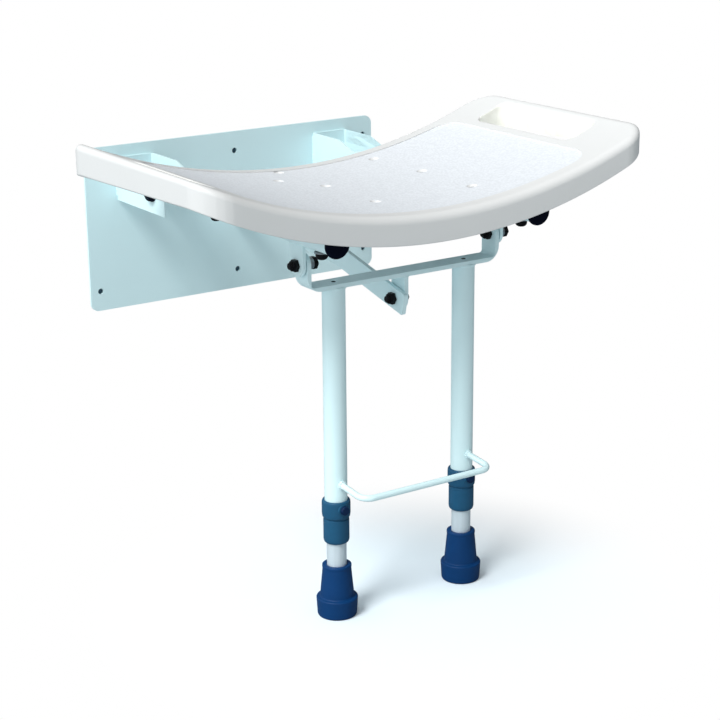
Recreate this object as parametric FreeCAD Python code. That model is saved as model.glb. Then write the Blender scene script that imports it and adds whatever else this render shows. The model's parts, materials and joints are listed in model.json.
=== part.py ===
import FreeCAD, Part
import math
import os

# Wall-mounted fold-up shower seat with two support legs, in millimetres.
# X runs along the wall, Y into the wall and Z up. The origin is the centre of the wall plate's
# hole pattern, on the plate's back face, so the room lies on the -Y side.
# A reach is measured from the wall plate's front face out into the room.
os.makedirs("parts", exist_ok=True)
V = FreeCAD.Vector

# Wall plate
plate_width = 400.0
plate_height = 195.0
plate_thickness = 3.0
plate_corner_radius = 10.0
wall_hole_diameter = 7.0
wall_hole_inset_x = 13.0
wall_hole_inset_z = 23.5
floor_drop = 382.0

# Seat brackets, each a bent channel whose web lies on the plate
bracket_inner_x = 111.0
bracket_width = 50.0
bracket_sheet = 2.5
bracket_bottom_z = 34.0
bracket_height = 50.0
bracket_reach = 121.0
bracket_slope_run = 61.0
bracket_slope_drop = 20.0
outer_cheek_height = 34.0

# Seat hinge
hinge_reach = 91.0
hinge_z = 58.0
hinge_bolt_diameter = 10.0
hinge_head_diameter = 17.0
hinge_head_height = 6.0
hinge_nut_height = 5.0
hinge_bolt_tail = 0.3
hinge_cap_diameter = 22.0
hinge_cap_roof = 1.5
hinge_cap_round = 2.4
hinge_sleeve_diameter = 14.0
hinge_spacer_diameter = 17.0

# Seat frame
frame_tube_diameter = 25.0
tube_wall = 1.5
frame_tube_x = 128.0
frame_tube_tail = 15.0
frame_tube_reach = 424.0
frame_cap_diameter = 29.0
frame_cap_thickness = 3.5
frame_cap_round = 2.1
frame_cap_plug = 16.0
frame_cap_plug_wall = 3.0
cross_bar_diameter = 20.0
cross_bar_inset = 49.0
cross_bar_drop = 2.0

# Leg pivots on the seat frame
pivot_inset = 74.0
pivot_drop = 36.0
lug_thickness = 4.0
lug_width = 25.0
pivot_bolt_diameter = 8.0
pivot_head_diameter = 14.0
pivot_head_height = 5.5
pivot_nut_height = 6.5
pivot_bolt_tail = 3.0
pivot_washer_diameter = 17.0
pivot_spacer_diameter = 13.0
pivot_spacer_length = 7.2

# Leg yoke, a flat bar bent up at both ends
yoke_bar_thickness = 5.0
yoke_bar_width = 25.0
yoke_bend_radius = 12.0
yoke_bar_top_drop = 24.0
yoke_washer = 1.2
yoke_vent_diameter = 5.0

# Legs
leg_x = 85.0
leg_tube_diameter = 25.0
leg_tube_end_height = 99.0
ring_bottom_height = 116.6
ring_top_height = 136.0
ring_diameter = 31.5
ring_round = 0.8
sleeve_bottom_height = 86.0
sleeve_diameter = 28.6
sleeve_neck_height = 2.4
sleeve_neck_diameter = 26.6
sleeve_round = 2.4

# Lock pins, each on a spring band that clasps the leg tube inside its lock ring
lock_height = 127.4
lock_knob_diameter = 10.0
lock_knob_length = 4.2
lock_knob_round = 1.4
lock_flange_diameter = 12.0
lock_flange_thickness = 0.6
lock_pin_diameter = 6.0
lock_travel = 1.4
lock_band_thickness = 0.4
lock_band_width = 9.0
lock_band_gap = 12.0

# Leg extensions and feet
extension_top_height = 260.0
extension_bottom_height = 8.0
extension_fit = 0.08
extension_hole_pitch = 25.0
extension_hole_count = 5
foot_base_diameter = 46.0
foot_lip_height = 22.0
foot_lip_round = 2.0
foot_shoulder_diameter = 38.0
foot_neck_diameter = 31.5
foot_top_height = 60.0
foot_rim_diameter = 32.6
foot_rim_height = 4.0
foot_groove_depth = 2.5
foot_groove_width = 3.0
foot_groove_radius = 9.0
foot_groove_pitch = 6.0
foot_groove_count = 2

# Carry loop between the legs
loop_rod_diameter = 7.0
loop_height = 156.5
loop_reach = 55.0
loop_bend_radius = 13.0
loop_tilt_degrees = 5.0

# Folding link
link_drop = 54.0
link_thickness = 5.0
link_height = 24.0
link_x = -6.3
link_nose = 19.0
link_slope_run = 113.0
link_slope_degrees = 13.0
link_bracket_sheet = 3.0
link_bracket_height = 20.0
link_lug_thickness = 5.0
link_front_clearance = 0.3

# Seat board
seat_width = 562.0
seat_front_overhang = 9.0
seat_rear_reach = 128.0
seat_top_z = 76.2
seat_top_radius = 665.0
seat_rim_height = 31.0
seat_under_radius = 642.0
seat_corner_radius = 35.0
seat_skin = 4.0
seat_top_round = 7.0
seat_inset_slot_gap = 12.0
seat_inset_margin = 21.5
seat_inset_depth = 1.3
seat_inset_corner = 26.0
slot_end_margin = 14.0
slot_width = 43.0
slot_length = 172.0
slot_centre_reach = 272.0
slot_corner = 12.0
slot_wall = 3.0
slot_wall_depth = 28.0
rib_thickness = 3.0
rib_depth = 11.0
rib_row_count = 5
rib_slot_gap = 24.0
rib_column_count = 4
link_channel_width = 16.0
drain_diameter = 8.5
# Each drain's place, as shares of half the seat's width and of its depth from the rear edge
drain_place_shares = ((-0.112, 0.088), (-0.217, 0.246), (-0.098, 0.393), (-0.098, 0.711),
                      (0.312, 0.144), (0.322, 0.446), (0.312, 0.764))
rear_seat_bolt_reach = 180.0
front_seat_bolt_inset = 28.0
seat_bolt_diameter = 6.0
seat_bolt_head_diameter = 13.0
seat_bolt_head_height = 7.0
seat_bolt_head_round = 3.4
seat_bolt_washer_diameter = 16.0
seat_bolt_washer = 1.2
boss_diameter = 18.0
insert_diameter = 9.0
insert_length = 8.0

# Fits: a running pin, parts that pass each other, the seat board over its frame
pin_fit = 0.05
side_gap = 0.3
seat_gap = 1.0
overrun = 1.0
edge_tolerance = 0.1

# Derived places
front_y = -plate_thickness
floor_z = -floor_drop
hinge_y = front_y - hinge_reach
pivot_reach = frame_tube_reach - pivot_inset
pivot_y = front_y - pivot_reach
pivot_z = hinge_z - pivot_drop
frame_radius = frame_tube_diameter / 2
frame_inner_x = frame_tube_x - frame_radius
frame_outer_x = frame_tube_x + frame_radius
tube_rear = hinge_y + frame_tube_tail
tube_front = front_y - frame_tube_reach
leg_radius = leg_tube_diameter / 2
leg_bore = leg_radius - tube_wall
extension_radius = leg_bore - extension_fit
bracket_outer_x = bracket_inner_x + bracket_width
link_rear_z = hinge_z - link_drop
link_front_z = pivot_z - link_drop
link_left = link_x - link_thickness / 2
link_right = link_x + link_thickness / 2
yoke_half = frame_tube_x - lug_thickness / 2 - yoke_washer - side_gap
yoke_top_z = pivot_z - yoke_bar_top_drop
yoke_under_z = yoke_top_z - yoke_bar_thickness
hinge_hole_radius = hinge_bolt_diameter / 2 + pin_fit
pivot_radius = pivot_bolt_diameter / 2
pivot_hole_radius = pivot_radius + pin_fit
seat_rear = front_y - seat_rear_reach
seat_front = tube_front - seat_front_overhang
seat_depth = seat_rear - seat_front
seat_half = seat_width / 2
slot_inner_x = seat_half - slot_end_margin - slot_width
seat_inset_x = slot_inner_x - seat_inset_slot_gap
rib_column_pitch = (slot_inner_x - rib_slot_gap) / rib_column_count
skirt_low = seat_top_z - seat_rim_height
above_seat = seat_top_z + seat_half
below_seat = skirt_low - overrun
insert_low_z = hinge_z + frame_radius + side_gap
insert_top_z = insert_low_z + insert_length
signs = (-1, 1)
sides = (("left", -1), ("right", 1))


def box(x0, x1, y0, y1, z0, z1):
    corner = V(min(x0, x1), min(y0, y1), min(z0, z1))
    return Part.makeBox(abs(x1 - x0), abs(y1 - y0), abs(z1 - z0), corner)


def rod_x(radius, x0, x1, y, z):
    return Part.makeCylinder(radius, abs(x1 - x0), V(min(x0, x1), y, z), V(1, 0, 0))


def rod_y(radius, y0, y1, x, z):
    return Part.makeCylinder(radius, abs(y1 - y0), V(x, min(y0, y1), z), V(0, 1, 0))


def rod_z(radius, z0, z1, x, y):
    return Part.makeCylinder(radius, abs(z1 - z0), V(x, y, min(z0, z1)), V(0, 0, 1))


def ring_x(outer, inner, x0, x1, y, z):
    return rod_x(outer, x0, x1, y, z).cut(rod_x(inner, x0, x1, y, z))


def hexagon_x(across_corners, x0, x1, y, z):
    radius = across_corners / 2
    corners = []
    for index in range(7):
        angle = math.radians(60 * index)
        corners.append(V(min(x0, x1), y + math.cos(angle) * radius, z + math.sin(angle) * radius))
    return Part.Face(Part.makePolygon(corners)).extrude(V(abs(x1 - x0), 0, 0))


def plate_x(outline, x0, x1):
    # A flat plate across X whose outline is a list of (y, z) points.
    points = [V(min(x0, x1), y, z) for y, z in outline]
    face = Part.Face(Part.makePolygon(points + points[:1]))
    return face.extrude(V(abs(x1 - x0), 0, 0))


def edges_along(shape, axis):
    # The straight edges that run along one axis, 0 for X, 1 for Y and 2 for Z.
    found = []
    for edge in shape.Edges:
        span = edge.lastVertex().Point - edge.firstVertex().Point
        if abs(abs(span[axis]) - span.Length) < edge_tolerance and span.Length > edge_tolerance:
            found.append(edge)
    return found


def edges_at(shape, axis, place):
    # The edges that lie whole in the plane where the coordinate of that axis has this value.
    found = []
    for edge in shape.Edges:
        limits = edge.BoundBox
        low = (limits.XMin, limits.YMin, limits.ZMin)[axis]
        high = (limits.XMax, limits.YMax, limits.ZMax)[axis]
        if abs(low - place) < edge_tolerance and abs(high - place) < edge_tolerance:
            found.append(edge)
    return found


def rounded_block(x0, x1, y0, y1, radius, z0, z1):
    block = box(x0, x1, y0, y1, z0, z1)
    return block.makeFillet(radius, edges_along(block, 2))


def save(name, *solids):
    shape = solids[0] if len(solids) == 1 else Part.makeCompound(list(solids))
    shape.exportStep("parts/" + name + ".step")


def wall_plate():
    plate = box(-plate_width / 2, plate_width / 2, front_y, 0, -plate_height / 2, plate_height / 2)
    plate = plate.makeFillet(plate_corner_radius, edges_along(plate, 1))
    column = plate_width / 2 - wall_hole_inset_x
    row = plate_height / 2 - wall_hole_inset_z
    for hole_x in (-column, 0, column):
        for hole_z in (-row, row):
            plate = plate.cut(rod_y(wall_hole_diameter / 2, front_y, 0, hole_x, hole_z))
    save("wall_plate", plate)


def seat_brackets():
    # A web on the plate and two cheeks; the inner one slopes down to its front top corner and
    # the outer one is low, just above its hinge bolt.
    nose_y = front_y - bracket_reach
    top_z = bracket_bottom_z + bracket_height
    cheek = [(front_y, bracket_bottom_z), (nose_y, bracket_bottom_z),
             (nose_y, top_z - bracket_slope_drop), (nose_y + bracket_slope_run, top_z),
             (front_y, top_z)]
    for side, sign in sides:
        inner_x = sign * bracket_inner_x
        outer_x = sign * bracket_outer_x
        channel = box(inner_x + sign * bracket_sheet, outer_x - sign * bracket_sheet,
                      front_y - bracket_sheet, nose_y - overrun,
                      bracket_bottom_z - overrun, top_z + overrun)
        bracket = plate_x(cheek, inner_x, outer_x).cut(channel)
        bracket = bracket.cut(box(outer_x - sign * bracket_sheet, outer_x + sign * overrun,
                                  front_y - bracket_sheet, nose_y - overrun,
                                  bracket_bottom_z + outer_cheek_height, top_z + overrun))
        bracket = bracket.cut(rod_x(hinge_hole_radius, inner_x, outer_x, hinge_y, hinge_z))
        save("seat_bracket_" + side, bracket)


def seat_hinge():
    bolts = []
    nuts = []
    caps = []
    washers = []
    spacers = []
    nut_x = bracket_outer_x + hinge_nut_height
    tail_x = nut_x + hinge_bolt_tail
    pocket_x = tail_x + pin_fit
    cap_x = pocket_x + hinge_cap_roof
    inner_wall = bracket_inner_x + bracket_sheet
    outer_wall = bracket_outer_x - bracket_sheet
    for sign in signs:
        head = hexagon_x(hinge_head_diameter, sign * (bracket_inner_x - hinge_head_height),
                         sign * bracket_inner_x, hinge_y, hinge_z)
        shank = rod_x(hinge_bolt_diameter / 2, sign * bracket_inner_x, sign * tail_x,
                      hinge_y, hinge_z)
        bolts.append(head.fuse(shank).removeSplitter())
        nut = hexagon_x(hinge_head_diameter, sign * bracket_outer_x, sign * nut_x, hinge_y, hinge_z)
        nuts.append(nut.cut(shank))
        cap = rod_x(hinge_cap_diameter / 2, sign * bracket_outer_x, sign * cap_x, hinge_y, hinge_z)
        cap = cap.makeFillet(hinge_cap_round, edges_at(cap, 0, sign * cap_x))
        pocket = rod_x(hinge_head_diameter / 2 + pin_fit, sign * bracket_outer_x,
                       sign * pocket_x, hinge_y, hinge_z)
        caps.append(cap.cut(pocket))
        washers.append(ring_x(hinge_spacer_diameter / 2, hinge_hole_radius, sign * inner_wall,
                              sign * (frame_inner_x - side_gap), hinge_y, hinge_z))
        spacers.append(ring_x(hinge_spacer_diameter / 2, hinge_hole_radius,
                              sign * (frame_outer_x + side_gap), sign * outer_wall,
                              hinge_y, hinge_z))
    save("hinge_bolts", *bolts)
    save("hinge_nuts", *nuts)
    save("hinge_nut_caps", *caps)
    save("hinge_washers", *washers)
    save("hinge_spacers", *spacers)


def seat_bolt_places():
    depths = (front_y - rear_seat_bolt_reach, tube_front + front_seat_bolt_inset)
    return [(sign * frame_tube_x, y) for sign in signs for y in depths]


def frame_tube_body(sign, radius):
    return rod_y(radius, tube_rear, tube_front, sign * frame_tube_x, hinge_z)


def seat_frame():
    sleeves = []
    caps = []
    for side, sign in sides:
        centre_x = sign * frame_tube_x
        across = (sign * frame_inner_x, sign * frame_outer_x, hinge_y, hinge_z)
        tube = frame_tube_body(sign, frame_radius).cut(frame_tube_body(sign, frame_radius - tube_wall))
        tube = tube.cut(rod_x(hinge_sleeve_diameter / 2, *across))
        for bolt_x, bolt_y in seat_bolt_places():
            tube = tube.cut(rod_z(seat_bolt_diameter / 2 + side_gap, hinge_z - frame_tube_diameter,
                                  hinge_z + frame_tube_diameter, bolt_x, bolt_y))
        save("frame_tube_" + side, tube)
        sleeves.append(ring_x(hinge_sleeve_diameter / 2, hinge_hole_radius, *across))
        cap_y = tube_front - frame_cap_thickness
        plug_radius = frame_radius - tube_wall - pin_fit
        cap = rod_y(frame_cap_diameter / 2, tube_front, cap_y, centre_x, hinge_z)
        cap = cap.makeFillet(frame_cap_round, edges_at(cap, 1, cap_y))
        plug = rod_y(plug_radius, tube_front, tube_front + frame_cap_plug, centre_x, hinge_z)
        hollow = rod_y(plug_radius - frame_cap_plug_wall, tube_front + frame_cap_plug_wall,
                       tube_front + frame_cap_plug, centre_x, hinge_z)
        caps.append(cap.fuse(plug).cut(hollow).removeSplitter())
    save("frame_hinge_sleeves", *sleeves)
    save("frame_end_caps", *caps)
    bar = cross_bar_body(cross_bar_diameter / 2)
    bar = bar.cut(cross_bar_body(cross_bar_diameter / 2 - tube_wall))
    for sign in signs:
        bar = bar.cut(frame_tube_body(sign, frame_radius))
    save("frame_cross_bar", bar)


def cross_bar_body(radius):
    return rod_x(radius, -frame_tube_x, frame_tube_x, tube_front + cross_bar_inset,
                 hinge_z - cross_bar_drop)


def leg_lugs():
    lugs = []
    for sign in signs:
        x0 = sign * frame_tube_x - lug_thickness / 2
        x1 = sign * frame_tube_x + lug_thickness / 2
        lug = box(x0, x1, pivot_y - lug_width / 2, pivot_y + lug_width / 2, pivot_z, hinge_z)
        lug = lug.fuse(rod_x(lug_width / 2, x0, x1, pivot_y, pivot_z)).removeSplitter()
        lug = lug.cut(frame_tube_body(sign, frame_radius))
        lugs.append(lug.cut(rod_x(pivot_radius, x0, x1, pivot_y, pivot_z)))
    save("leg_lugs", *lugs)


def pivot_bolt(nut_face, head_face, y, z):
    # The head lies on the +X side and the threaded end runs past the nut on the -X side.
    tail = nut_face - pivot_nut_height - pivot_bolt_tail
    head = hexagon_x(pivot_head_diameter, head_face, head_face + pivot_head_height, y, z)
    return rod_x(pivot_radius, tail, head_face, y, z).fuse(head).removeSplitter()


def pivot_nut(nut_face, y, z):
    nut = hexagon_x(pivot_head_diameter, nut_face - pivot_nut_height, nut_face, y, z)
    return nut.cut(rod_x(pivot_radius, nut_face - pivot_nut_height, nut_face, y, z))


def pivot_ring(diameter, x0, x1, y, z):
    return ring_x(diameter / 2, pivot_hole_radius, x0, x1, y, z)


def leg_pivots():
    # Both bolts go in from the same side, so the two stacks aren't mirrored.
    lug_near = frame_tube_x - lug_thickness / 2
    lug_far = frame_tube_x + lug_thickness / 2
    upright_inner = yoke_half - yoke_bar_thickness - side_gap
    place = (pivot_y, pivot_z)
    left_head = pivot_spacer_length - upright_inner
    right_head = lug_far + pivot_spacer_length
    save("leg_pivot_bolts", pivot_bolt(-lug_far, left_head, *place),
         pivot_bolt(upright_inner, right_head, *place))
    save("leg_pivot_nuts", pivot_nut(-lug_far, *place), pivot_nut(upright_inner, *place))
    save("leg_pivot_spacers", pivot_ring(pivot_spacer_diameter, -upright_inner, left_head, *place),
         pivot_ring(pivot_spacer_diameter, lug_far, right_head, *place))
    save("leg_pivot_washers", *[pivot_ring(pivot_washer_diameter, sign * (lug_near - yoke_washer),
                                           sign * lug_near, *place) for sign in signs])


def yoke_block(half, low_z, corner_radius):
    block = box(-half, half, pivot_y - yoke_bar_width / 2, pivot_y + yoke_bar_width / 2,
                low_z, pivot_z + yoke_bar_width / 2)
    low_corners = [edge for edge in edges_along(block, 1)
                   if abs(edge.BoundBox.ZMin - low_z) < edge_tolerance]
    return block.makeFillet(corner_radius, low_corners)


def leg_yoke():
    yoke = yoke_block(yoke_half, yoke_under_z, yoke_bend_radius + yoke_bar_thickness)
    yoke = yoke.cut(yoke_block(yoke_half - yoke_bar_thickness, yoke_top_z, yoke_bend_radius))
    ends = box(-yoke_half, yoke_half, pivot_y - yoke_bar_width, pivot_y + yoke_bar_width,
               yoke_under_z, pivot_z)
    ends = ends.fuse(rod_x(yoke_bar_width / 2, -yoke_half, yoke_half, pivot_y, pivot_z))
    yoke = yoke.common(ends)
    yoke = yoke.cut(rod_x(pivot_hole_radius, -yoke_half, yoke_half, pivot_y, pivot_z))
    for sign in signs:
        yoke = yoke.cut(rod_z(yoke_vent_diameter / 2, yoke_under_z, yoke_top_z,
                              sign * leg_x, pivot_y))
    save("leg_yoke", yoke.removeSplitter())


def link_front_pivot():
    half = link_lug_thickness / 2
    place = (pivot_y, link_front_z)
    lug = box(-half, half, pivot_y - lug_width / 2, pivot_y + lug_width / 2,
              link_front_z, yoke_under_z)
    lug = lug.fuse(rod_x(lug_width / 2, -half, half, *place)).removeSplitter()
    save("link_lug", lug.cut(rod_x(pivot_radius, -half, half, *place)))
    nut_face = link_left - side_gap
    save("link_front_bolt", pivot_bolt(nut_face, half, *place))
    save("link_front_nut", pivot_nut(nut_face, *place))
    save("link_front_washer", pivot_ring(pivot_washer_diameter, link_right + side_gap, -half, *place))


def strip_side(path, offset):
    # The (y, z) points that lie beside a bent path at this distance, mitred at its bends.
    normals = []
    for start, end in zip(path, path[1:]):
        run = math.hypot(end[0] - start[0], end[1] - start[1])
        normals.append(((start[1] - end[1]) / run, (end[0] - start[0]) / run))
    before = normals[:1] + normals
    after = normals + normals[-1:]
    points = []
    for point, one, two in zip(path, before, after):
        stretch = offset / (1 + one[0] * two[0] + one[1] * two[1])
        points.append((point[0] + (one[0] + two[0]) * stretch,
                       point[1] + (one[1] + two[1]) * stretch))
    return points


def folding_link():
    # A flat bar on edge that dips towards its front eye.
    slope = math.radians(link_slope_degrees)
    knee = (pivot_y + link_slope_run * math.cos(slope),
            link_front_z + link_slope_run * math.sin(slope))
    nose = (pivot_y - link_nose * math.cos(slope), link_front_z - link_nose * math.sin(slope))
    path = [(hinge_y, link_rear_z), knee, nose]
    outline = strip_side(path, link_height / 2) + strip_side(path, -link_height / 2)[::-1]
    link = plate_x(outline, link_left, link_right)
    link = link.fuse(rod_x(link_height / 2, link_left, link_right, hinge_y, link_rear_z))
    link = link.cut(rod_x(pivot_hole_radius, link_left, link_right, hinge_y, link_rear_z))
    link = link.cut(rod_x(pivot_radius + link_front_clearance, link_left, link_right,
                          pivot_y, link_front_z))
    save("folding_link", link.removeSplitter())


def link_wall_bracket():
    # A narrow channel on the wall plate that holds the link's rear eye between its cheeks.
    half = link_bracket_height / 2
    left = link_left - side_gap - link_bracket_sheet
    right = link_right + side_gap + link_bracket_sheet
    place = (hinge_y, link_rear_z)
    channel = box(left, right, front_y, hinge_y, link_rear_z - half, link_rear_z + half)
    channel = channel.fuse(rod_x(half, left, right, *place))
    channel = channel.cut(box(left + link_bracket_sheet, right - link_bracket_sheet,
                              front_y - link_bracket_sheet, hinge_y - link_bracket_height,
                              link_rear_z - link_bracket_height, link_rear_z + link_bracket_height))
    save("link_wall_bracket", channel.cut(rod_x(pivot_radius, left, right, *place)).removeSplitter())
    save("link_rear_bolt", pivot_bolt(left, right, *place))
    save("link_rear_nut", pivot_nut(left, *place))


def legs():
    lock_z = floor_z + lock_height
    ring_low = floor_z + ring_bottom_height
    ring_high = floor_z + ring_top_height
    ring_radius = ring_diameter / 2
    pin_radius = lock_pin_diameter / 2
    band_inner = leg_radius + pin_fit
    band_outer = band_inner + lock_band_thickness
    flange_inner = band_outer + pin_fit
    flange_outer = flange_inner + lock_flange_thickness
    pocket_reach = flange_outer + lock_travel + 2 * pin_fit
    for side, sign in sides:
        place = (sign * leg_x, pivot_y)
        end_z = floor_z + leg_tube_end_height
        tube = rod_z(leg_radius, end_z, yoke_under_z, *place)
        tube = tube.cut(rod_z(leg_bore, end_z, yoke_under_z, *place))
        pin_way = rod_y(pin_radius + pin_fit, pivot_y, pivot_y - ring_diameter, place[0], lock_z)
        save("leg_tube_" + side, tube.cut(pin_way))

        ring = rod_z(ring_radius, ring_low, ring_high, *place)
        ring = ring.makeFillet(ring_round, edges_at(ring, 2, ring_low) + edges_at(ring, 2, ring_high))
        ring = ring.cut(rod_z(leg_radius + pin_fit, ring_low, ring_high, *place))
        ring = ring.cut(rod_z(band_outer + pin_fit, lock_z - lock_band_width / 2 - side_gap,
                              lock_z + lock_band_width / 2 + side_gap, *place))
        ring = ring.cut(rod_y(lock_flange_diameter / 2 + pin_fit, pivot_y, pivot_y - pocket_reach,
                              place[0], lock_z))
        ring = ring.cut(rod_y(lock_knob_diameter / 2 + pin_fit, pivot_y, pivot_y - ring_diameter,
                              place[0], lock_z))
        save("lock_ring_" + side, ring)

        band = rod_z(band_outer, lock_z - lock_band_width / 2, lock_z + lock_band_width / 2, *place)
        band = band.cut(rod_z(band_inner, lock_z - lock_band_width, lock_z + lock_band_width, *place))
        band = band.cut(box(place[0] - lock_band_gap / 2, place[0] + lock_band_gap / 2, pivot_y,
                            pivot_y + ring_diameter, lock_z - lock_band_width,
                            lock_z + lock_band_width))
        save("lock_spring_" + side, band.cut(pin_way))

        # The pin's tip stops short of the extension, so that the extension can slide.
        tip_y = pivot_y - extension_radius - side_gap
        flange_y = pivot_y - flange_inner
        face_y = pivot_y - ring_radius - lock_knob_length
        knob = rod_y(lock_knob_diameter / 2, flange_y, face_y, place[0], lock_z)
        knob = knob.makeFillet(lock_knob_round, edges_at(knob, 1, face_y))
        knob = knob.fuse(rod_y(lock_flange_diameter / 2, flange_y, pivot_y - flange_outer,
                               place[0], lock_z))
        knob = knob.fuse(rod_y(pin_radius, tip_y, flange_y, place[0], lock_z))
        save("lock_pin_" + side, knob.removeSplitter())

        guide_low = floor_z + sleeve_bottom_height
        neck_low = ring_low - sleeve_neck_height
        guide = rod_z(sleeve_diameter / 2, guide_low, neck_low, *place)
        guide = guide.makeFillet(sleeve_round, edges_at(guide, 2, guide_low))
        guide = guide.fuse(rod_z(sleeve_neck_diameter / 2, neck_low, ring_low, *place))
        guide = guide.cut(rod_z(leg_radius + pin_fit, end_z - pin_fit, ring_low, *place))
        guide = guide.cut(rod_z(extension_radius + pin_fit, guide_low, end_z, *place))
        save("guide_sleeve_" + side, guide.removeSplitter())


def extensions_and_feet():
    low_z = floor_z + extension_bottom_height
    high_z = floor_z + extension_top_height
    lip_z = floor_z + foot_lip_height
    top_z = floor_z + foot_top_height
    for side, sign in sides:
        place = (sign * leg_x, pivot_y)
        tube = rod_z(extension_radius, low_z, high_z, *place)
        tube = tube.cut(rod_z(extension_radius - tube_wall, low_z, high_z, *place))
        for index in range(extension_hole_count):
            hole_z = floor_z + lock_height + index * extension_hole_pitch
            tube = tube.cut(rod_y(lock_pin_diameter / 2 + pin_fit, pivot_y,
                                  pivot_y - leg_tube_diameter, place[0], hole_z))
        save("leg_extension_" + side, tube)

        foot = rod_z(foot_base_diameter / 2, floor_z, lip_z, *place)
        rims = edges_at(foot, 2, floor_z) + edges_at(foot, 2, lip_z)
        foot = foot.makeFillet(foot_lip_round, rims)
        cone = Part.makeCone(foot_shoulder_diameter / 2, foot_neck_diameter / 2,
                             top_z - lip_z + foot_lip_round, V(*place, lip_z - foot_lip_round))
        foot = foot.fuse(cone)
        foot = foot.fuse(rod_z(foot_rim_diameter / 2, top_z - foot_rim_height, top_z, *place))
        foot = foot.cut(rod_z(extension_radius, low_z, top_z, *place))
        for index in range(foot_groove_count):
            radius = foot_groove_radius + index * foot_groove_pitch
            groove = rod_z(radius + foot_groove_width / 2, floor_z, floor_z + foot_groove_depth, *place)
            foot = foot.cut(groove.cut(rod_z(radius - foot_groove_width / 2, floor_z,
                                             floor_z + foot_groove_depth, *place)))
        save("foot_" + side, foot.removeSplitter())


def carry_loop():
    # A rod bent twice and welded to the front of both legs.
    z = floor_z + loop_height
    bar_y = pivot_y - loop_reach
    bend = loop_bend_radius
    cut_corner = bend * (1 - math.cos(math.pi / 4))
    edges = [Part.makeLine(V(-leg_x, pivot_y, z), V(-leg_x, bar_y + bend, z)),
             Part.Arc(V(-leg_x, bar_y + bend, z), V(cut_corner - leg_x, bar_y + cut_corner, z),
                      V(bend - leg_x, bar_y, z)).toShape(),
             Part.makeLine(V(bend - leg_x, bar_y, z), V(leg_x - bend, bar_y, z)),
             Part.Arc(V(leg_x - bend, bar_y, z), V(leg_x - cut_corner, bar_y + cut_corner, z),
                      V(leg_x, bar_y + bend, z)).toShape(),
             Part.makeLine(V(leg_x, bar_y + bend, z), V(leg_x, pivot_y, z))]
    start = Part.makeCircle(loop_rod_diameter / 2, V(-leg_x, pivot_y, z), V(0, 1, 0))
    loop = Part.Wire(edges).makePipeShell([Part.Wire([start])], True, True)
    loop.rotate(V(0, pivot_y, z), V(1, 0, 0), loop_tilt_degrees)
    for sign in signs:
        loop = loop.cut(rod_z(leg_radius, yoke_under_z, floor_z, sign * leg_x, pivot_y))
    save("carry_loop", loop)


def across_seat(radius, centre_z):
    return rod_y(radius, seat_front - overrun, seat_rear + overrun, 0, centre_z)


def seat_footprint(inset, low_z):
    return rounded_block(-seat_half + inset, seat_half - inset, seat_front + inset,
                         seat_rear - inset, seat_corner_radius - inset, low_z, above_seat)


def under_dish(shape, drop):
    # What of a shape lies more than this drop below the dished top surface.
    return shape.cut(across_seat(seat_top_radius + drop, seat_top_z + seat_top_radius))


def near_dish(shape, drop):
    # What of a shape lies less than this drop below the dished top surface.
    return shape.common(across_seat(seat_top_radius + drop, seat_top_z + seat_top_radius))


def dish_edges(shape):
    found = []
    for edge in shape.Edges:
        middle = edge.valueAt((edge.FirstParameter + edge.LastParameter) / 2)
        height = seat_top_z + seat_top_radius - math.sqrt(seat_top_radius ** 2 - middle.x ** 2)
        if abs(middle.z - height) < edge_tolerance:
            found.append(edge)
    return found


def slot_block(sign, margin, low_z):
    centre_y = front_y - slot_centre_reach
    half = slot_length / 2 + margin
    return rounded_block(sign * (slot_inner_x - margin), sign * (slot_inner_x + slot_width + margin),
                         centre_y - half, centre_y + half, slot_corner + margin, low_z, above_seat)


def seat_ribs():
    ribs = []
    row_pitch = seat_depth / (rib_row_count + 1)
    half = rib_thickness / 2
    for index in range(rib_row_count):
        y = seat_rear - (index + 1) * row_pitch
        ribs.append(box(-seat_half, seat_half, y - half, y + half, below_seat, above_seat))
    for index in range(rib_column_count):
        for sign in signs:
            x = sign * (index + 1) * rib_column_pitch
            ribs.append(box(x - half, x + half, seat_front, seat_rear, below_seat, above_seat))
    web = ribs[0].multiFuse(ribs[1:])
    hold = seat_skin - side_gap
    web = under_dish(web.common(seat_footprint(hold, below_seat)), hold)
    web = near_dish(web, seat_skin + rib_depth)
    bosses = [under_dish(rod_z(boss_diameter / 2, hinge_z, above_seat, x, y), hold)
              for x, y in seat_bolt_places()]
    return web.multiFuse(bosses)


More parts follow.
